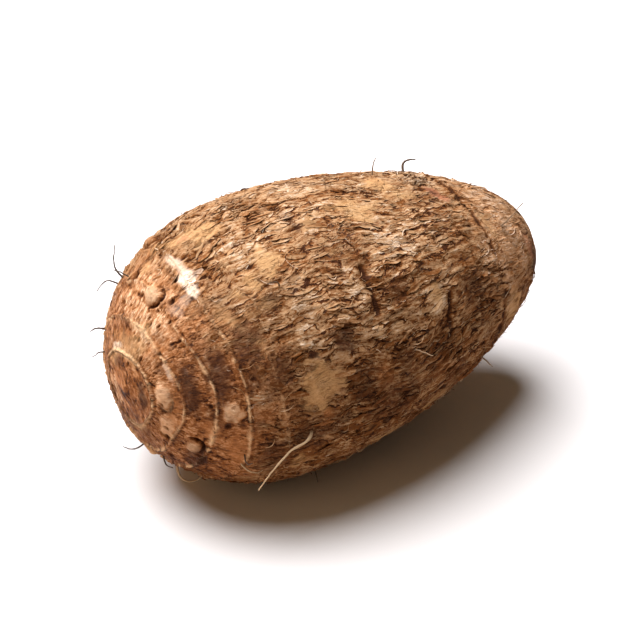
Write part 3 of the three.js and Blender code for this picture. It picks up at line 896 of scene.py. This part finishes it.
def bark_flakes_group():
    """Flakes that stand off the skin along their lower edge, and the gap under that edge, which the skin
    paints as shadow.
    """
    group, tree, given, made = new_group(
        "bark_flakes", "ShaderNodeTree",
        [("Place", VECTOR, None), ("Width", FLOAT, 2.0), ("Length", FLOAT, 5.0), ("Loose", FLOAT, 0.5)],
        [("Rise", FLOAT), ("Gap", FLOAT), ("Own", FLOAT)])
    across = tree.math("DIVIDE", 1.0, given["Width"])
    scale = tree.combine(across, across, tree.math("DIVIDE", 1.0, given["Length"]))
    ragged = tree.wander({"Vector": given["Place"], "Scale": 0.7, "Detail": 2.0})
    place = tree.vector_math("MULTIPLY", given["Place"], scale)
    place = tree.vector_math("ADD", place, tree.vector_math("MULTIPLY", ragged, (0.6, 0.6, 0.35)))
    cell = {"Vector": place, "Scale": 1.0}
    cells = tree.add("ShaderNodeTexVoronoi", cell).outputs
    border = tree.add("ShaderNodeTexVoronoi", cell, feature="DISTANCE_TO_EDGE").outputs[0]
    tangent = tree.vector_math("NORMALIZE", tree.vector_math("CROSS_PRODUCT", (0, 0, 1), given["Place"]))
    offset = tree.vector_math("SUBTRACT", place, cells["Position"])
    side = tree.math("SIGN", tree.axes(cells["Position"])[1])
    rise = tree.times(tree.vector_math("DOT_PRODUCT", offset, tangent, "Value"), side)
    own = tree.add("ShaderNodeSeparateColor", {0: cells["Color"]}).outputs[0]
    loose = tree.ramp(tree.math("SUBTRACT", given["Loose"], own), -0.15, 0.2)
    gap = tree.times(tree.inverse(tree.ramp(border, 0.0, 0.17)), tree.ramp(rise, 0.0, -0.25))
    tree.feed(made["Rise"], tree.times(rise, loose))
    tree.feed(made["Gap"], tree.times(gap, loose))
    tree.feed(made["Own"], own)
    return group


def bark_tone_group():
    """Four colours from dark to pale, picked by a tone from 0 to 1."""
    group, tree, given, made = new_group(
        "bark_tone", "ShaderNodeTree",
        [("Tone", FLOAT, 0.5)] + [(name, COLOUR, None) for name in BODY_COLOURS],
        [("Color", COLOUR)])
    colour = given["Gap"]
    for name, low, high in TONE_STEPS:
        colour = tree.blend(tree.ramp(given["Tone"], low, high), colour, given[name])
    tree.feed(made["Color"], colour)
    return group


def weathering_group():
    """Stains, bare layers, rubbed places and dust over a bark colour, each by its own mask; the dark stains
    include painted shade.
    """
    group, tree, given, made = new_group(
        "weathering", "ShaderNodeTree",
        [("Color", COLOUR, None), ("Grain", FLOAT, 0.5), ("Solid", VECTOR, None)]
        + [(name, FLOAT, 0.0) for name in WEATHER],
        [("Color", COLOUR)])
    colour = given["Color"]
    for name, even, streaked, stain in STAIN_LAYERS:
        share = tree.times(given[name], tree.weighted_sum(even, (given["Grain"], streaked)), clamp=True)
        colour = tree.blend(share, colour, stain)
    motes = tree.ramp(tree.noise(given["Solid"], 520.0, 3.0), 0.56, 0.72)
    colour = tree.blend(tree.times(motes, 0.04), colour, LILAC_DUST)
    scuff = tree.times(given["Scuff"], tree.ramp(given["Grain"], 0.22, 0.50))
    tree.feed(made["Color"], tree.blend(scuff, colour, LILAC_DUST))
    return group


FIBRE_GRAIN = fibre_grain_group()
BARK_FLAKES = bark_flakes_group()
BARK_TONE = bark_tone_group()
WEATHERING = weathering_group()


def grain(tree, place, width, length):
    return tree.place_group(FIBRE_GRAIN, {"Place": place, "Width": width, "Length": length})["Value"]


def tone_colour(tree, tone, colours):
    return tree.place_group(BARK_TONE, {"Tone": tone, **colours})["Color"]


def weathered(tree, colour, streaks, solid):
    values = {name: tree.attribute(name.lower()) for name in WEATHER}
    values.update(Color=colour, Grain=streaks, Solid=solid)
    return tree.place_group(WEATHERING, values)["Color"]


def new_material(name, specular):
    material = bpy.data.materials.new(name)
    material.use_nodes = True
    shader = material.node_tree.nodes["Principled BSDF"]
    shader.inputs["Specular IOR Level"].default_value = specular
    return material, Tree(material.node_tree), shader


def raise_bump(tree, shader, height, depth_mm, strength=1.0):
    bump = tree.add("ShaderNodeBump", {"Height": height, "Strength": strength, "Distance": depth_mm * MM})
    tree.feed(shader.inputs["Normal"], bump.outputs["Normal"])


def skin_finish():
    """Rough fibrous bark on the body, and satin reddish skin with pale scar rings on the crown."""
    material, tree, shader = new_material("bark_skin", 0.05)
    fibres = tree.attribute("grain", "Vector")
    solid = tree.add("ShaderNodeTexCoord").outputs["Object"]
    coarse = grain(tree, fibres, 1.1, 3.6)
    fine = grain(tree, fibres, 0.42, 1.4)
    speck = tree.noise(solid, 2300.0, 2.0)
    cloud = tree.noise(solid, 85.0, 3.0, 0.55)
    names = ("body", "scar", "slit", "hollow", "pale", "under", "shag", "bud", "lip", "flake")
    body_mask, scar, slit, hollow, pale, under, shag, bud, lip, flake = map(tree.attribute, names)
    broad = tree.place_group(BARK_FLAKES, {"Place": fibres, "Width": 2.3, "Length": 5.2, "Loose": shag})
    small = tree.place_group(BARK_FLAKES, {"Place": fibres, "Width": 1.25, "Length": 3.1, "Loose": shag})
    # Thin splits, darkened as painted shade, follow the level lines of a stretched noise, where a second
    # noise allows
    splits = tree.math("ABSOLUTE", tree.math("SUBTRACT", grain(tree, fibres, 1.3, 4.8), 0.5))
    splits = tree.inverse(tree.ramp(splits, 0.0, 0.035))
    splits = tree.times(splits, tree.ramp(grain(tree, fibres, 3.1, 3.7), 0.46, 0.6))
    # Painted shade darkens the body in splits, slits, hollows, the gaps under flake edges and towards the
    # underside; rising flakes and their lips are painted lighter as highlight, the lips partly rubbed pale
    body_tone = tree.weighted_sum(-0.323, (coarse, 0.42), (fine, 0.42), (speck, 0.3), (cloud, 0.3),
                                  (splits, -0.3), (slit, -0.3), (hollow, -0.6),
                                  (broad["Gap"], -0.55), (small["Gap"], -0.3),
                                  (broad["Own"], 0.1), (small["Own"], 0.06),
                                  (tree.ramp(broad["Rise"], 0.1, 0.4), 0.12),
                                  (lip, 0.15), (flake, 0.12), (pale, 0.14), (under, -0.11))
    body = tone_colour(tree, body_tone, BODY_COLOURS)
    wedges = grain(tree, fibres, 3.2, 2.6)
    streaks = grain(tree, fibres, 1.5, 2.2)
    threads = grain(tree, fibres, 0.65, 1.3)
    # Painted shade darkens the crown in splits, slits, hollows and towards the underside
    crown_tone = tree.weighted_sum(-1.03, (wedges, 0.6), (streaks, 0.75), (threads, 0.75), (speck, 0.3),
                                   (cloud, 0.6), (splits, -0.275), (slit, -0.45), (hollow, -0.7),
                                   (pale, 0.22), (under, -0.08))
    # Buds are smoother than the skin round them and paler, partly their own colour and partly a painted
    # highlight on the dome
    bud_paling_and_highlight = tree.math("SUBTRACT", 0.80, crown_tone)
    crown_tone = tree.math("MULTIPLY_ADD", tree.times(bud, 0.8), bud_paling_and_highlight, crown_tone)
    crown = tone_colour(tree, crown_tone, CROWN_COLOURS)
    colour = tree.blend(body_mask, crown, body)
    colour = weathered(tree, colour, fine, solid)
    ridge = tree.times(scar, tree.weighted_sum(-0.1, (speck, 0.9), (fine, 1.0)), clamp=True)
    colour = tree.blend(ridge, colour, RIDGE_COLOUR)
    # Painted shade in pits, cracks, grooves and bud crescents, in umber
    colour = tree.blend(tree.times(hollow, 0.8), colour, UMBER_STAIN_AND_SHADE)
    tree.feed(shader.inputs["Base Color"], colour)
    tree.feed(shader.inputs["Roughness"], tree.weighted_sum(0.44, (body_mask, 0.3), (fine, 0.22)))
    crumple = tree.noise(solid, 620.0, 3.0, 0.6)
    depth = tree.weighted_sum(0.0, (coarse, 0.35), (fine, 0.3), (streaks, 0.35), (crumple, 0.35),
                              (speck, 0.1), (splits, -0.3), (broad["Rise"], 0.6), (small["Rise"], 0.35),
                              (broad["Gap"], -0.35), (small["Gap"], -0.2))
    raise_bump(tree, shader, depth, 0.85)
    return material


def bark_finish(name, lightness, spread, colours=BODY_COLOURS, roughness=0.85):
    """Loose bark and fibres: each piece has a tone of its own, and streaks along it."""
    material, tree, shader = new_material(name, 0.04)
    solid = tree.add("ShaderNodeTexCoord").outputs["Object"]
    place = tree.attribute("place", "Vector")
    fibres = tree.vector_math("ADD", tree.attribute("grain", "Vector"), place)
    fine = grain(tree, fibres, 0.42, 1.4)
    speck = tree.noise(solid, 1700.0, 2.0)
    cloud = tree.noise(solid, 85.0, 3.0, 0.55)
    coarse = grain(tree, fibres, 1.1, 3.6)
    # The edge that stands off is painted a little pale, partly rubbed and partly as highlight, and the edge
    # that is stuck down gets painted shade
    edge = tree.times(tree.axes(place)[0], tree.attribute("side"))
    # Loose pieces also take the painted shade towards the underside
    tone = tree.weighted_sum(lightness, (tree.attribute("tone"), spread), (coarse, 0.55), (fine, 0.5),
                             (speck, 0.25), (cloud, 0.42), (tree.ramp(edge, 0.0, 0.4), 0.03),
                             (tree.ramp(edge, 0.0, -0.4), -0.08), (tree.attribute("pale"), 0.13),
                             (tree.attribute("under"), -0.17))
    colour = tone_colour(tree, tone, colours)
    tree.feed(shader.inputs["Base Color"], weathered(tree, colour, fine, solid))
    shader.inputs["Roughness"].default_value = roughness
    raise_bump(tree, shader, fine, 0.15, 0.6)
    return material


def flesh_finish():
    """Dried cut flesh, cream with a browned edge and darker fibre ends."""
    material, tree, shader = new_material("cut_flesh", 0.4)
    solid = tree.add("ShaderNodeTexCoord").outputs["Object"]
    cloud = tree.noise(solid, 260.0, 4.0, 0.6)
    speck = tree.noise(solid, 1500.0, 3.0)
    dots = tree.add("ShaderNodeTexVoronoi", {"Vector": solid, "Scale": 700.0}).outputs["Distance"]
    dots = tree.inverse(tree.ramp(dots, 0.08, 0.24))
    browned = tree.attribute("browned")
    tone = tree.weighted_sum(0.18, (cloud, 0.75), (speck, 0.35), (browned, -0.55), (dots, -0.16))
    tree.feed(shader.inputs["Base Color"], tone_colour(tree, tone, FLESH_COLOURS))
    tree.feed(shader.inputs["Roughness"], tree.weighted_sum(0.5, (speck, 0.3)))
    raise_bump(tree, shader, tree.weighted_sum(0.0, (cloud, 0.6), (speck, 0.25), (dots, 0.3)), 0.4)
    return material


# Loose bark and fibres: name, mask that it follows, sides and segments, lightness, spread of tones
BARK_LAYERS = (
    ("bark_plates", "shag", (4, 6), -0.42, 0.12),
    ("bark_slivers", "shag", (4, 5), -0.42, 0.14),
    ("bark_threads", "tangle", (3, 6), -0.40, 0.3),
    ("scar_fringe", "fringe", (4, 3), -0.25, 0.2),
    ("bark_bristles", "hair", (3, 3), -0.55, 0.5),
)
VARIANTS = 4
PER_CM2 = 1e4
DEGREE = math.pi / 180
# The unit of each of their sizes, and its value for each layer in turn
SPREAD = {
    "Density": (PER_CM2, 11, 10, 6, 90, 9),
    "Seed": (1, 3, 8, 21, 34, 55),
}
SLIVER_SIZES = {
    "Length": (MM, 3.9, 3.6, 4.2, 1.6, 1.9),
    "Width": (MM, 1.1, 0.55, 0.17, 0.3, 0.12),
    "Thickness": (MM, 0.1, 0.16, 0.16, 0.18, 0.11),
    "Arch": (MM, 0.1, 0.15, 0.6, 0.15, 0.3),
    "Curl": (MM, 0.2, 0.1, 0, 0, 0),
    "Bend": (MM, 0.5, 0.7, 2, 0.5, 0.5),
    "Ragged": (MM, 0.8, 0.6, 0.5, 0.3, 0.3),
    "Tip Share": (1, 0.6, 0.3, 0.25, 0.2, 0.3),
    "Fullness": (1, 0.3, 0.5, 0.3, 0.5, 0.3),
    "Turned": (DEGREE, 0, 0, 0, 90, 0),
    "Yaw": (DEGREE, 16, 24, 50, 30, 70),
    "Least Roll": (DEGREE, 3, 5, 0, 4, 0),
    "Most Roll": (DEGREE, 12, 30, 12, 30, 30),
    "Least Pitch": (DEGREE, 0, 0, 0, 0, 16),
    "Most Pitch": (DEGREE, 2, 6, 6, 8, 62),
    "Least Size": (1, 0.45, 0.4, 0.4, 0.4, 0.5),
    "Most Size": (1, 1.5, 1.6, 1.4, 1.4, 1.5),
    "Sink": (MM, 0.05, 0.02, 0, 0.02, 0),
}


# Geometry node trees
def random_value(tree, low, high, seed, number_type="FLOAT"):
    """A random number for each point: the sockets of a Random Value node go by its type."""
    first, output = {"FLOAT": (2, 1), "INT": (4, 2)}[number_type]
    node = tree.add("FunctionNodeRandomValue", {"Seed": seed}, data_type=number_type)
    tree.feed(node.inputs[first], low)
    tree.feed(node.inputs[first + 1], high)
    return node.outputs[output]


def sliver_shapes(tree, given, sides, segments):
    """Instances of differing closed slivers, centred, lying along X, broad in Y and thin in Z."""
    flatten = tree.math("DIVIDE", given["Thickness"], given["Width"])
    half = tree.times(given["Length"], 0.5)
    back = tree.times(half, -1.0)
    outline = tree.add("GeometryNodeCurvePrimitiveCircle", {"Resolution": sides, "Radius": 0.6}).outputs[0]
    outline = tree.add("GeometryNodeTransform", {"Geometry": outline, "Rotation": (0, 0, math.pi / sides)})
    factor = tree.add("GeometryNodeSplineParameter").outputs["Factor"]
    arc = tree.math("SINE", tree.times(factor, math.pi))
    spindle = tree.math("MAXIMUM", tree.math("POWER", arc, given["Fullness"]), given["Tip Share"])
    shapes = tree.add("GeometryNodeJoinGeometry")
    for number in range(VARIANTS):
        swing = 2 * number / (VARIANTS - 1) - 1
        rise = (1.0, -0.4, 0.5)[number % 3]
        raised = tree.math("DIVIDE", tree.times(given["Arch"], rise), flatten)
        path = tree.add("GeometryNodeCurveQuadraticBezier", {
            "Resolution": segments, "Start": tree.combine(back),
            "Middle": tree.combine(0.0, tree.times(given["Bend"], swing), raised),
            "End": tree.combine(half)}).outputs[0]
        uneven = random_value(tree, 0.55, 1.2, number + 11)
        breadth = tree.times(tree.times(spindle, uneven), given["Width"])
        sliver = tree.swept(path, outline.outputs[0], breadth)
        sliver = tree.add("GeometryNodeTransform", {
            "Geometry": sliver, "Scale": tree.combine(1.0, 1.0, flatten)}).outputs[0]
        apart = tree.axes(tree.add("GeometryNodeInputPosition").outputs[0])
        aside = tree.math("POWER", tree.math("DIVIDE", apart[1], given["Width"]), 2.0)
        sliver = tree.moved(sliver, tree.combine(0.0, 0.0, tree.times(aside, given["Curl"])))
        torn = tree.wander({"Scale": 700.0, "W": 3.7 * number}, noise_dimensions="4D")
        thinly = tree.times(given["Ragged"], 0.25)
        torn = tree.vector_math("MULTIPLY", torn, tree.combine(given["Ragged"], given["Ragged"], thinly))
        sliver = tree.moved(sliver, torn)
        bent = tree.add("GeometryNodeInputMeshEdgeAngle").outputs["Unsigned Angle"]
        crisp = tree.math("GREATER_THAN", bent, math.radians(38))
        sliver = tree.add("GeometryNodeSetShadeSmooth", {
            "Geometry": sliver, "Selection": crisp, "Shade Smooth": False}, domain="EDGE").outputs[0]
        place = tree.vector_math("DIVIDE", tree.combine(apart[1], apart[2], apart[0]), (MM, MM, MM))
        sliver = tree.store(sliver, "place", place, "FLOAT_VECTOR")
        single = tree.add("GeometryNodeGeometryToInstance", {0: sliver}).outputs[0]
        tree.tree.links.new(single, shapes.inputs[0])
    return shapes.outputs[0]


def laid_group(name, sides, segments):
    """Lays slivers over a skin, turned to its fibres, as densely as a mask on it says."""
    group, tree, given, made = new_group(
        name, "GeometryNodeTree",
        [("Skin", GEOMETRY, None), ("Where", TEXT, ""), ("Density", FLOAT, 1e5), ("Seed", INTEGER, 1)]
        + [(size, FLOAT, 0.0) for size in SLIVER_SIZES] + [("Material", MATERIAL, None)],
        [("Shapes", GEOMETRY)])
    shapes = sliver_shapes(tree, given, sides, segments)
    points = tree.add("GeometryNodeDistributePointsOnFaces", {
        "Mesh": given["Skin"], "Density": tree.times(tree.named(given["Where"]), given["Density"]),
        "Seed": given["Seed"]}).outputs
    facing = tree.add("FunctionNodeAxesToRotation", {
        "Primary Axis": points["Normal"], "Secondary Axis": tree.named("along", "FLOAT_VECTOR")},
        primary_axis="Z", secondary_axis="X")

    def either_way(least, most, seed, lean=0.0):
        side = tree.math("SIGN", tree.math("MULTIPLY_ADD", lean, 0.7, random_value(tree, -1.0, 1.0, seed)))
        return tree.times(side, random_value(tree, least, most, seed + 20))

    # Most pieces stand off the skin along their lower edge
    yaw = random_value(tree, tree.times(given["Yaw"], -1.0), given["Yaw"], 3)
    tilt = tree.combine(either_way(given["Least Roll"], given["Most Roll"], 1, tree.named("side")),
                        either_way(given["Least Pitch"], given["Most Pitch"], 2),
                        tree.math("ADD", given["Turned"], yaw))
    tilt = tree.add("FunctionNodeEulerToRotation", {0: tilt}).outputs[0]
    facing = tree.add("FunctionNodeRotateRotation", {0: facing.outputs[0], 1: tilt}, rotation_space="LOCAL")
    size = tree.combine(random_value(tree, given["Least Size"], given["Most Size"], 4),
                        random_value(tree, given["Least Size"], given["Most Size"], 5), 1.0)
    laid = tree.add("GeometryNodeInstanceOnPoints", {
        "Points": points["Points"], "Instance": shapes, "Pick Instance": True,
        "Instance Index": random_value(tree, 0, VARIANTS - 1, 7, "INT"),
        "Rotation": facing.outputs[0], "Scale": size}).outputs[0]
    sunk = tree.combine(0.0, 0.0, tree.times(given["Sink"], -1.0))
    laid = tree.add("GeometryNodeTranslateInstances", {"Instances": laid, "Translation": sunk}).outputs[0]
    laid = tree.store(laid, "tone", random_value(tree, 0.0, 1.0, 6), domain="INSTANCE")
    tree.feed(made["Shapes"], tree.made_real(laid, given["Material"]))
    return group


def rootlet_group():
    """Turns lines of bends into smooth, slightly kinked tubes that taper to the tip."""
    group, tree, given, made = new_group(
        "rootlets", "GeometryNodeTree",
        [("Lines", GEOMETRY, None), ("Base Radius", FLOAT, 0.0003), ("Tip Radius", FLOAT, 0.0001),
         ("Kink", FLOAT, 0.0003), ("Kink Size", FLOAT, 0.002), ("Steps", INTEGER, 22),
         ("Sides", INTEGER, 8), ("Material", MATERIAL, None)],
        [("Rootlets", GEOMETRY)])
    paths = tree.add("GeometryNodeMeshToCurve", {"Mesh": given["Lines"]}).outputs[0]
    paths = tree.add("GeometryNodeCurveSplineType", {0: paths}, spline_type="CATMULL_ROM").outputs[0]
    paths = tree.add("GeometryNodeResampleCurve", {"Curve": paths, "Count": given["Steps"]}).outputs[0]
    factor = tree.add("GeometryNodeSplineParameter").outputs["Factor"]
    place = tree.add("GeometryNodeInputPosition").outputs[0]
    wander = tree.wander({"Vector": place, "Scale": tree.math("DIVIDE", 1.0, given["Kink Size"])})
    amount = tree.times(tree.times(factor, given["Kink"]), 2.0)
    wander = tree.vector_math("MULTIPLY", wander, tree.combine(amount, amount, amount))
    paths = tree.moved(paths, wander)
    thinner = tree.math("SUBTRACT", given["Tip Radius"], given["Base Radius"])
    radius = tree.math("MULTIPLY_ADD", thinner, tree.math("POWER", factor, 0.8), given["Base Radius"])
    radius = tree.times(tree.times(radius, random_value(tree, 0.85, 1.15, 5)), tree.named("girth"))
    outline = tree.add("GeometryNodeCurvePrimitiveCircle", {"Resolution": given["Sides"], "Radius": 1.0})
    tubes = tree.swept(paths, outline.outputs[0], radius)
    tone = tree.weighted_sum(-0.25, (tree.noise(place, 90.0), 0.5), (tree.named("paleness"), 1.0))
    tubes = tree.store(tubes, "tone", tone)
    tree.feed(made["Rootlets"], tree.made_real(tubes, given["Material"]))
    return group


def grown(name, source, group, settings):
    """Plain mesh of a node tree that runs on a copy of the source."""
    carrier = bpy.data.objects.new(name + "_carrier", source.data.copy())
    bpy.context.scene.collection.objects.link(carrier)
    modifier = carrier.modifiers.new("grow", "NODES")
    modifier.node_group = group
    sockets = {item.name: item.identifier for item in group.interface.items_tree if item.in_out == "INPUT"}
    for label, value in settings.items():
        modifier[sockets[label]] = value
    bpy.context.view_layer.update()
    evaluated = carrier.evaluated_get(bpy.context.evaluated_depsgraph_get())
    mesh = bpy.data.meshes.new_from_object(evaluated)
    mesh.name = name
    thing = bpy.data.objects.new(name, mesh)
    bpy.context.scene.collection.objects.link(thing)
    carrier.modifiers.remove(modifier)
    bpy.data.objects.remove(carrier)
    keep_above_floor(thing)
    return thing


def keep_above_floor(thing):
    places = np.empty(len(thing.data.vertices) * 3, np.float32)
    thing.data.vertices.foreach_get("co", places)
    places[2::3] = np.maximum(places[2::3], LEAST_HEIGHT * MM)
    thing.data.vertices.foreach_set("co", places)
    thing.data.update()


def lay_bark(skin):
    for layer, (name, where, (sides, segments), lightness, spread) in enumerate(BARK_LAYERS):
        settings = {"Where": where, "Material": bark_finish(name, lightness, spread)}
        for label, (unit, *values) in (SPREAD | SLIVER_SIZES).items():
            settings[label] = values[layer] * unit
        laid = grown(name, skin, laid_group(name, sides, segments), settings)
        finish_piece(laid)


# Rootlets
def seeded_random(seed):
    """Repeatable numbers from 0 to 1, the same as the part draws."""
    state = seed
    while True:
        state = (state + 0x6D2B79F5) & 0xFFFFFFFF
        mixed = (state ^ state >> 15) * (1 | state) & 0xFFFFFFFF
        mixed ^= mixed + (mixed ^ mixed >> 7) * (61 | mixed) & 0xFFFFFFFF
        yield (mixed ^ mixed >> 14) / 4294967296


def seeded_rootlets():
    draw = seeded_random(SEED)
    rootlets = []
    for number in range(SEEDED_ROOTLETS):
        latitude = 24 + 118 * ((number + 0.5 * next(draw)) / SEEDED_ROOTLETS)
        turn = -180 + (number * 137.5 + 24 * next(draw)) % 360
        length = 3.5 + 6 * next(draw)
        lean = np.array([next(draw) - 0.5 for _ in range(3)])
        out = outward(latitude, turn)
        bends = [out * length * share * (1 - 0.25 * share) + lean * length * share * share
                 for share in (0.35, 0.7, 1)]
        rootlets.append((latitude, turn, 1.0, 0.2 + 0.6 * number / SEEDED_ROOTLETS, *bends))
    return rootlets


def build_rootlets():
    points, edges, girths, paleness = [], [], [], []
    for latitude, turn, girth, pale, *bends in (*NAMED_ROOTLETS, *seeded_rootlets()):
        k = scar_number(latitude, turn)
        base = Skin(np.array([k]), np.array([float(turn)])).point[0]
        first = len(points)
        points += [base - outward(latitude, turn) * ROOTLET_SUNK, base]
        points += [base + np.array(bend) for bend in bends]
        edges += [(index, index + 1) for index in range(first, len(points) - 1)]
        girths += [girth] * (len(points) - first)
        paleness += [pale] * (len(points) - first)
    lines = mesh_object("rootlet_lines", points, edges=edges)
    set_values(lines, "girth", girths)
    set_values(lines, "paleness", paleness)
    rootlets = grown("rootlets", lines, rootlet_group(), {
        "Base Radius": ROOTLET_BASE_RADIUS * MM, "Tip Radius": ROOTLET_TIP_RADIUS * MM, "Kink": 0.5 * MM,
        "Kink Size": 1.8 * MM, "Steps": 22, "Sides": 8,
        "Material": bark_finish("rootlet_fibre", -0.75, 0.8, ROOTLET_COLOURS, 0.6)})
    rootlets.data.shade_smooth()
    bpy.data.objects.remove(lines)
    finish_piece(rootlets)


# Cut face
def build_flesh(rim):
    """Closed dished disc that sits inside the rim of the cut."""
    turns = np.radians(ring_turns(FLESH_COLUMNS))
    rim_turns = np.arctan2(-rim[:, 1], rim[:, 2] - AXIS_HEIGHT)
    rim_radius = np.hypot(rim[:, 1], rim[:, 2] - AXIS_HEIGHT) - RIM_WIDTH + FLESH_GAP
    order = np.argsort(rim_turns)
    radius = np.interp(turns, rim_turns[order], rim_radius[order], period=2 * math.pi)
    rim_x = np.interp(turns, rim_turns[order], rim[order, 0], period=2 * math.pi)
    points, browned, faces = [], [], []
    shares = [(1 - (ring / FLESH_RINGS) ** 1.3) for ring in range(FLESH_RINGS)]
    for side, ring_shares in ((0, [1.0]), (1, shares)):
        for share in ring_shares:
            y, z = -radius * share * np.sin(turns), AXIS_HEIGHT + radius * share * np.cos(turns)
            flat = np.stack([np.zeros_like(y), y, z], -1)
            wrinkle = 0.16 * noise(flat / 2.4, 61) + 0.3 * noise(flat / 7, 62)
            wrinkle += 0.07 * noise(flat / 0.9, 63)
            x = rim_x - FLESH_DROP - FLESH_DISH * (1 - share**2) + wrinkle * (1 - share**8)
            if side == 0:
                x = rim_x - FLESH_DROP - FLESH_THICKNESS
            points.append(np.stack([x, y, z], -1))
            browned.append(np.clip(smoothstep(0.72, 1.0, share + 0.08 * noise(flat / 1.6, 64)), 0, 1))
    rings = len(points)
    for ring in range(rings - 1):
        faces += stitched(ring * FLESH_COLUMNS, FLESH_COLUMNS, (ring + 1) * FLESH_COLUMNS, FLESH_COLUMNS)
    centre = np.array([[float(points[-1][:, 0].mean()), 0, AXIS_HEIGHT],
                       [float(points[0][:, 0].mean()), 0, AXIS_HEIGHT]])
    front, back = rings * FLESH_COLUMNS, rings * FLESH_COLUMNS + 1
    last = (rings - 1) * FLESH_COLUMNS
    for column in range(FLESH_COLUMNS):
        following = (column + 1) % FLESH_COLUMNS
        faces.append((last + column, last + following, front))
        faces.append((following, column, back))
    thing = mesh_object("cut_flesh", np.concatenate(points + [centre]), faces)
    set_values(thing, "browned", np.concatenate(browned + [[0.0, 0.0]]))
    thing.data.materials.append(flesh_finish())
    finish_piece(thing)


def finish_piece(thing):
    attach(thing, "root")
    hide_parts("corm")


# Floor, camera and light
def build_floor():
    corners = ((-1, -1), (1, -1), (1, 1), (-1, 1))
    floor = mesh_object("floor", [[x * FLOOR_HALF, y * FLOOR_HALF, 0] for x, y in corners], [(0, 1, 2, 3)])
    paint = bpy.data.materials.new("pale_floor")
    paint.use_nodes = True
    shader = paint.node_tree.nodes["Principled BSDF"]
    shader.inputs["Base Color"].default_value = FLOOR_COLOUR
    shader.inputs["Roughness"].default_value = FLOOR_ROUGHNESS
    floor.data.materials.append(paint)


def view_axes():
    """To the camera's right, level ahead, and straight ahead."""
    azimuth = math.radians(VIEW_AZIMUTH)
    elevation = math.radians(VIEW_ELEVATION)
    right = Vector((math.cos(azimuth), math.sin(azimuth), 0))
    level = Vector((-math.sin(azimuth), math.cos(azimuth), 0))
    ahead = level * math.cos(elevation) - Vector((0, 0, math.sin(elevation)))
    return right, level, ahead


def build_camera():
    ahead = view_axes()[2]
    lens = bpy.data.cameras.new("camera")
    lens.sensor_width = SENSOR_WIDTH
    lens.lens = SENSOR_WIDTH * VIEW_DISTANCE / FRAME_WIDTH
    lens.clip_start = 0.01
    camera = bpy.data.objects.new("camera", lens)
    camera.location = (Vector(VIEW_AIM) - ahead * VIEW_DISTANCE) * MM
    camera.rotation_euler = ahead.to_track_quat("-Z", "Y").to_euler()
    bpy.context.scene.collection.objects.link(camera)
    bpy.context.scene.camera = camera


def area_light(name, direction, distance, size, power, colour):
    lamp = bpy.data.lights.new(name, "AREA")
    lamp.shape = "DISK"
    lamp.size = size
    lamp.energy = power
    lamp.color = colour
    thing = bpy.data.objects.new(name, lamp)
    thing.location = direction.normalized() * distance
    thing.rotation_euler = (-direction).to_track_quat("-Z", "Y").to_euler()
    bpy.context.scene.collection.objects.link(thing)


def build_lights():
    right, level, _ = view_axes()
    for name, (rise, forward, aside), distance, size, power, colour in LIGHTS:
        direction = Vector((0, 0, 1)) * rise + level * forward + right * aside
        area_light(name, direction, distance, size, power, colour)
    world = bpy.data.worlds.new("studio")
    world.use_nodes = True
    backdrop = world.node_tree.nodes["Background"]
    backdrop.inputs["Color"].default_value = STUDIO_COLOUR
    backdrop.inputs["Strength"].default_value = STUDIO_STRENGTH
    bpy.context.scene.world = world
    bpy.context.scene.view_settings.view_transform = "Standard"


build_camera()
build_floor()
build_lights()
skin, rim = build_skin()
skin.data.materials.append(skin_finish())
finish_piece(skin)
lay_bark(skin)
build_rootlets()
build_flesh(rim)
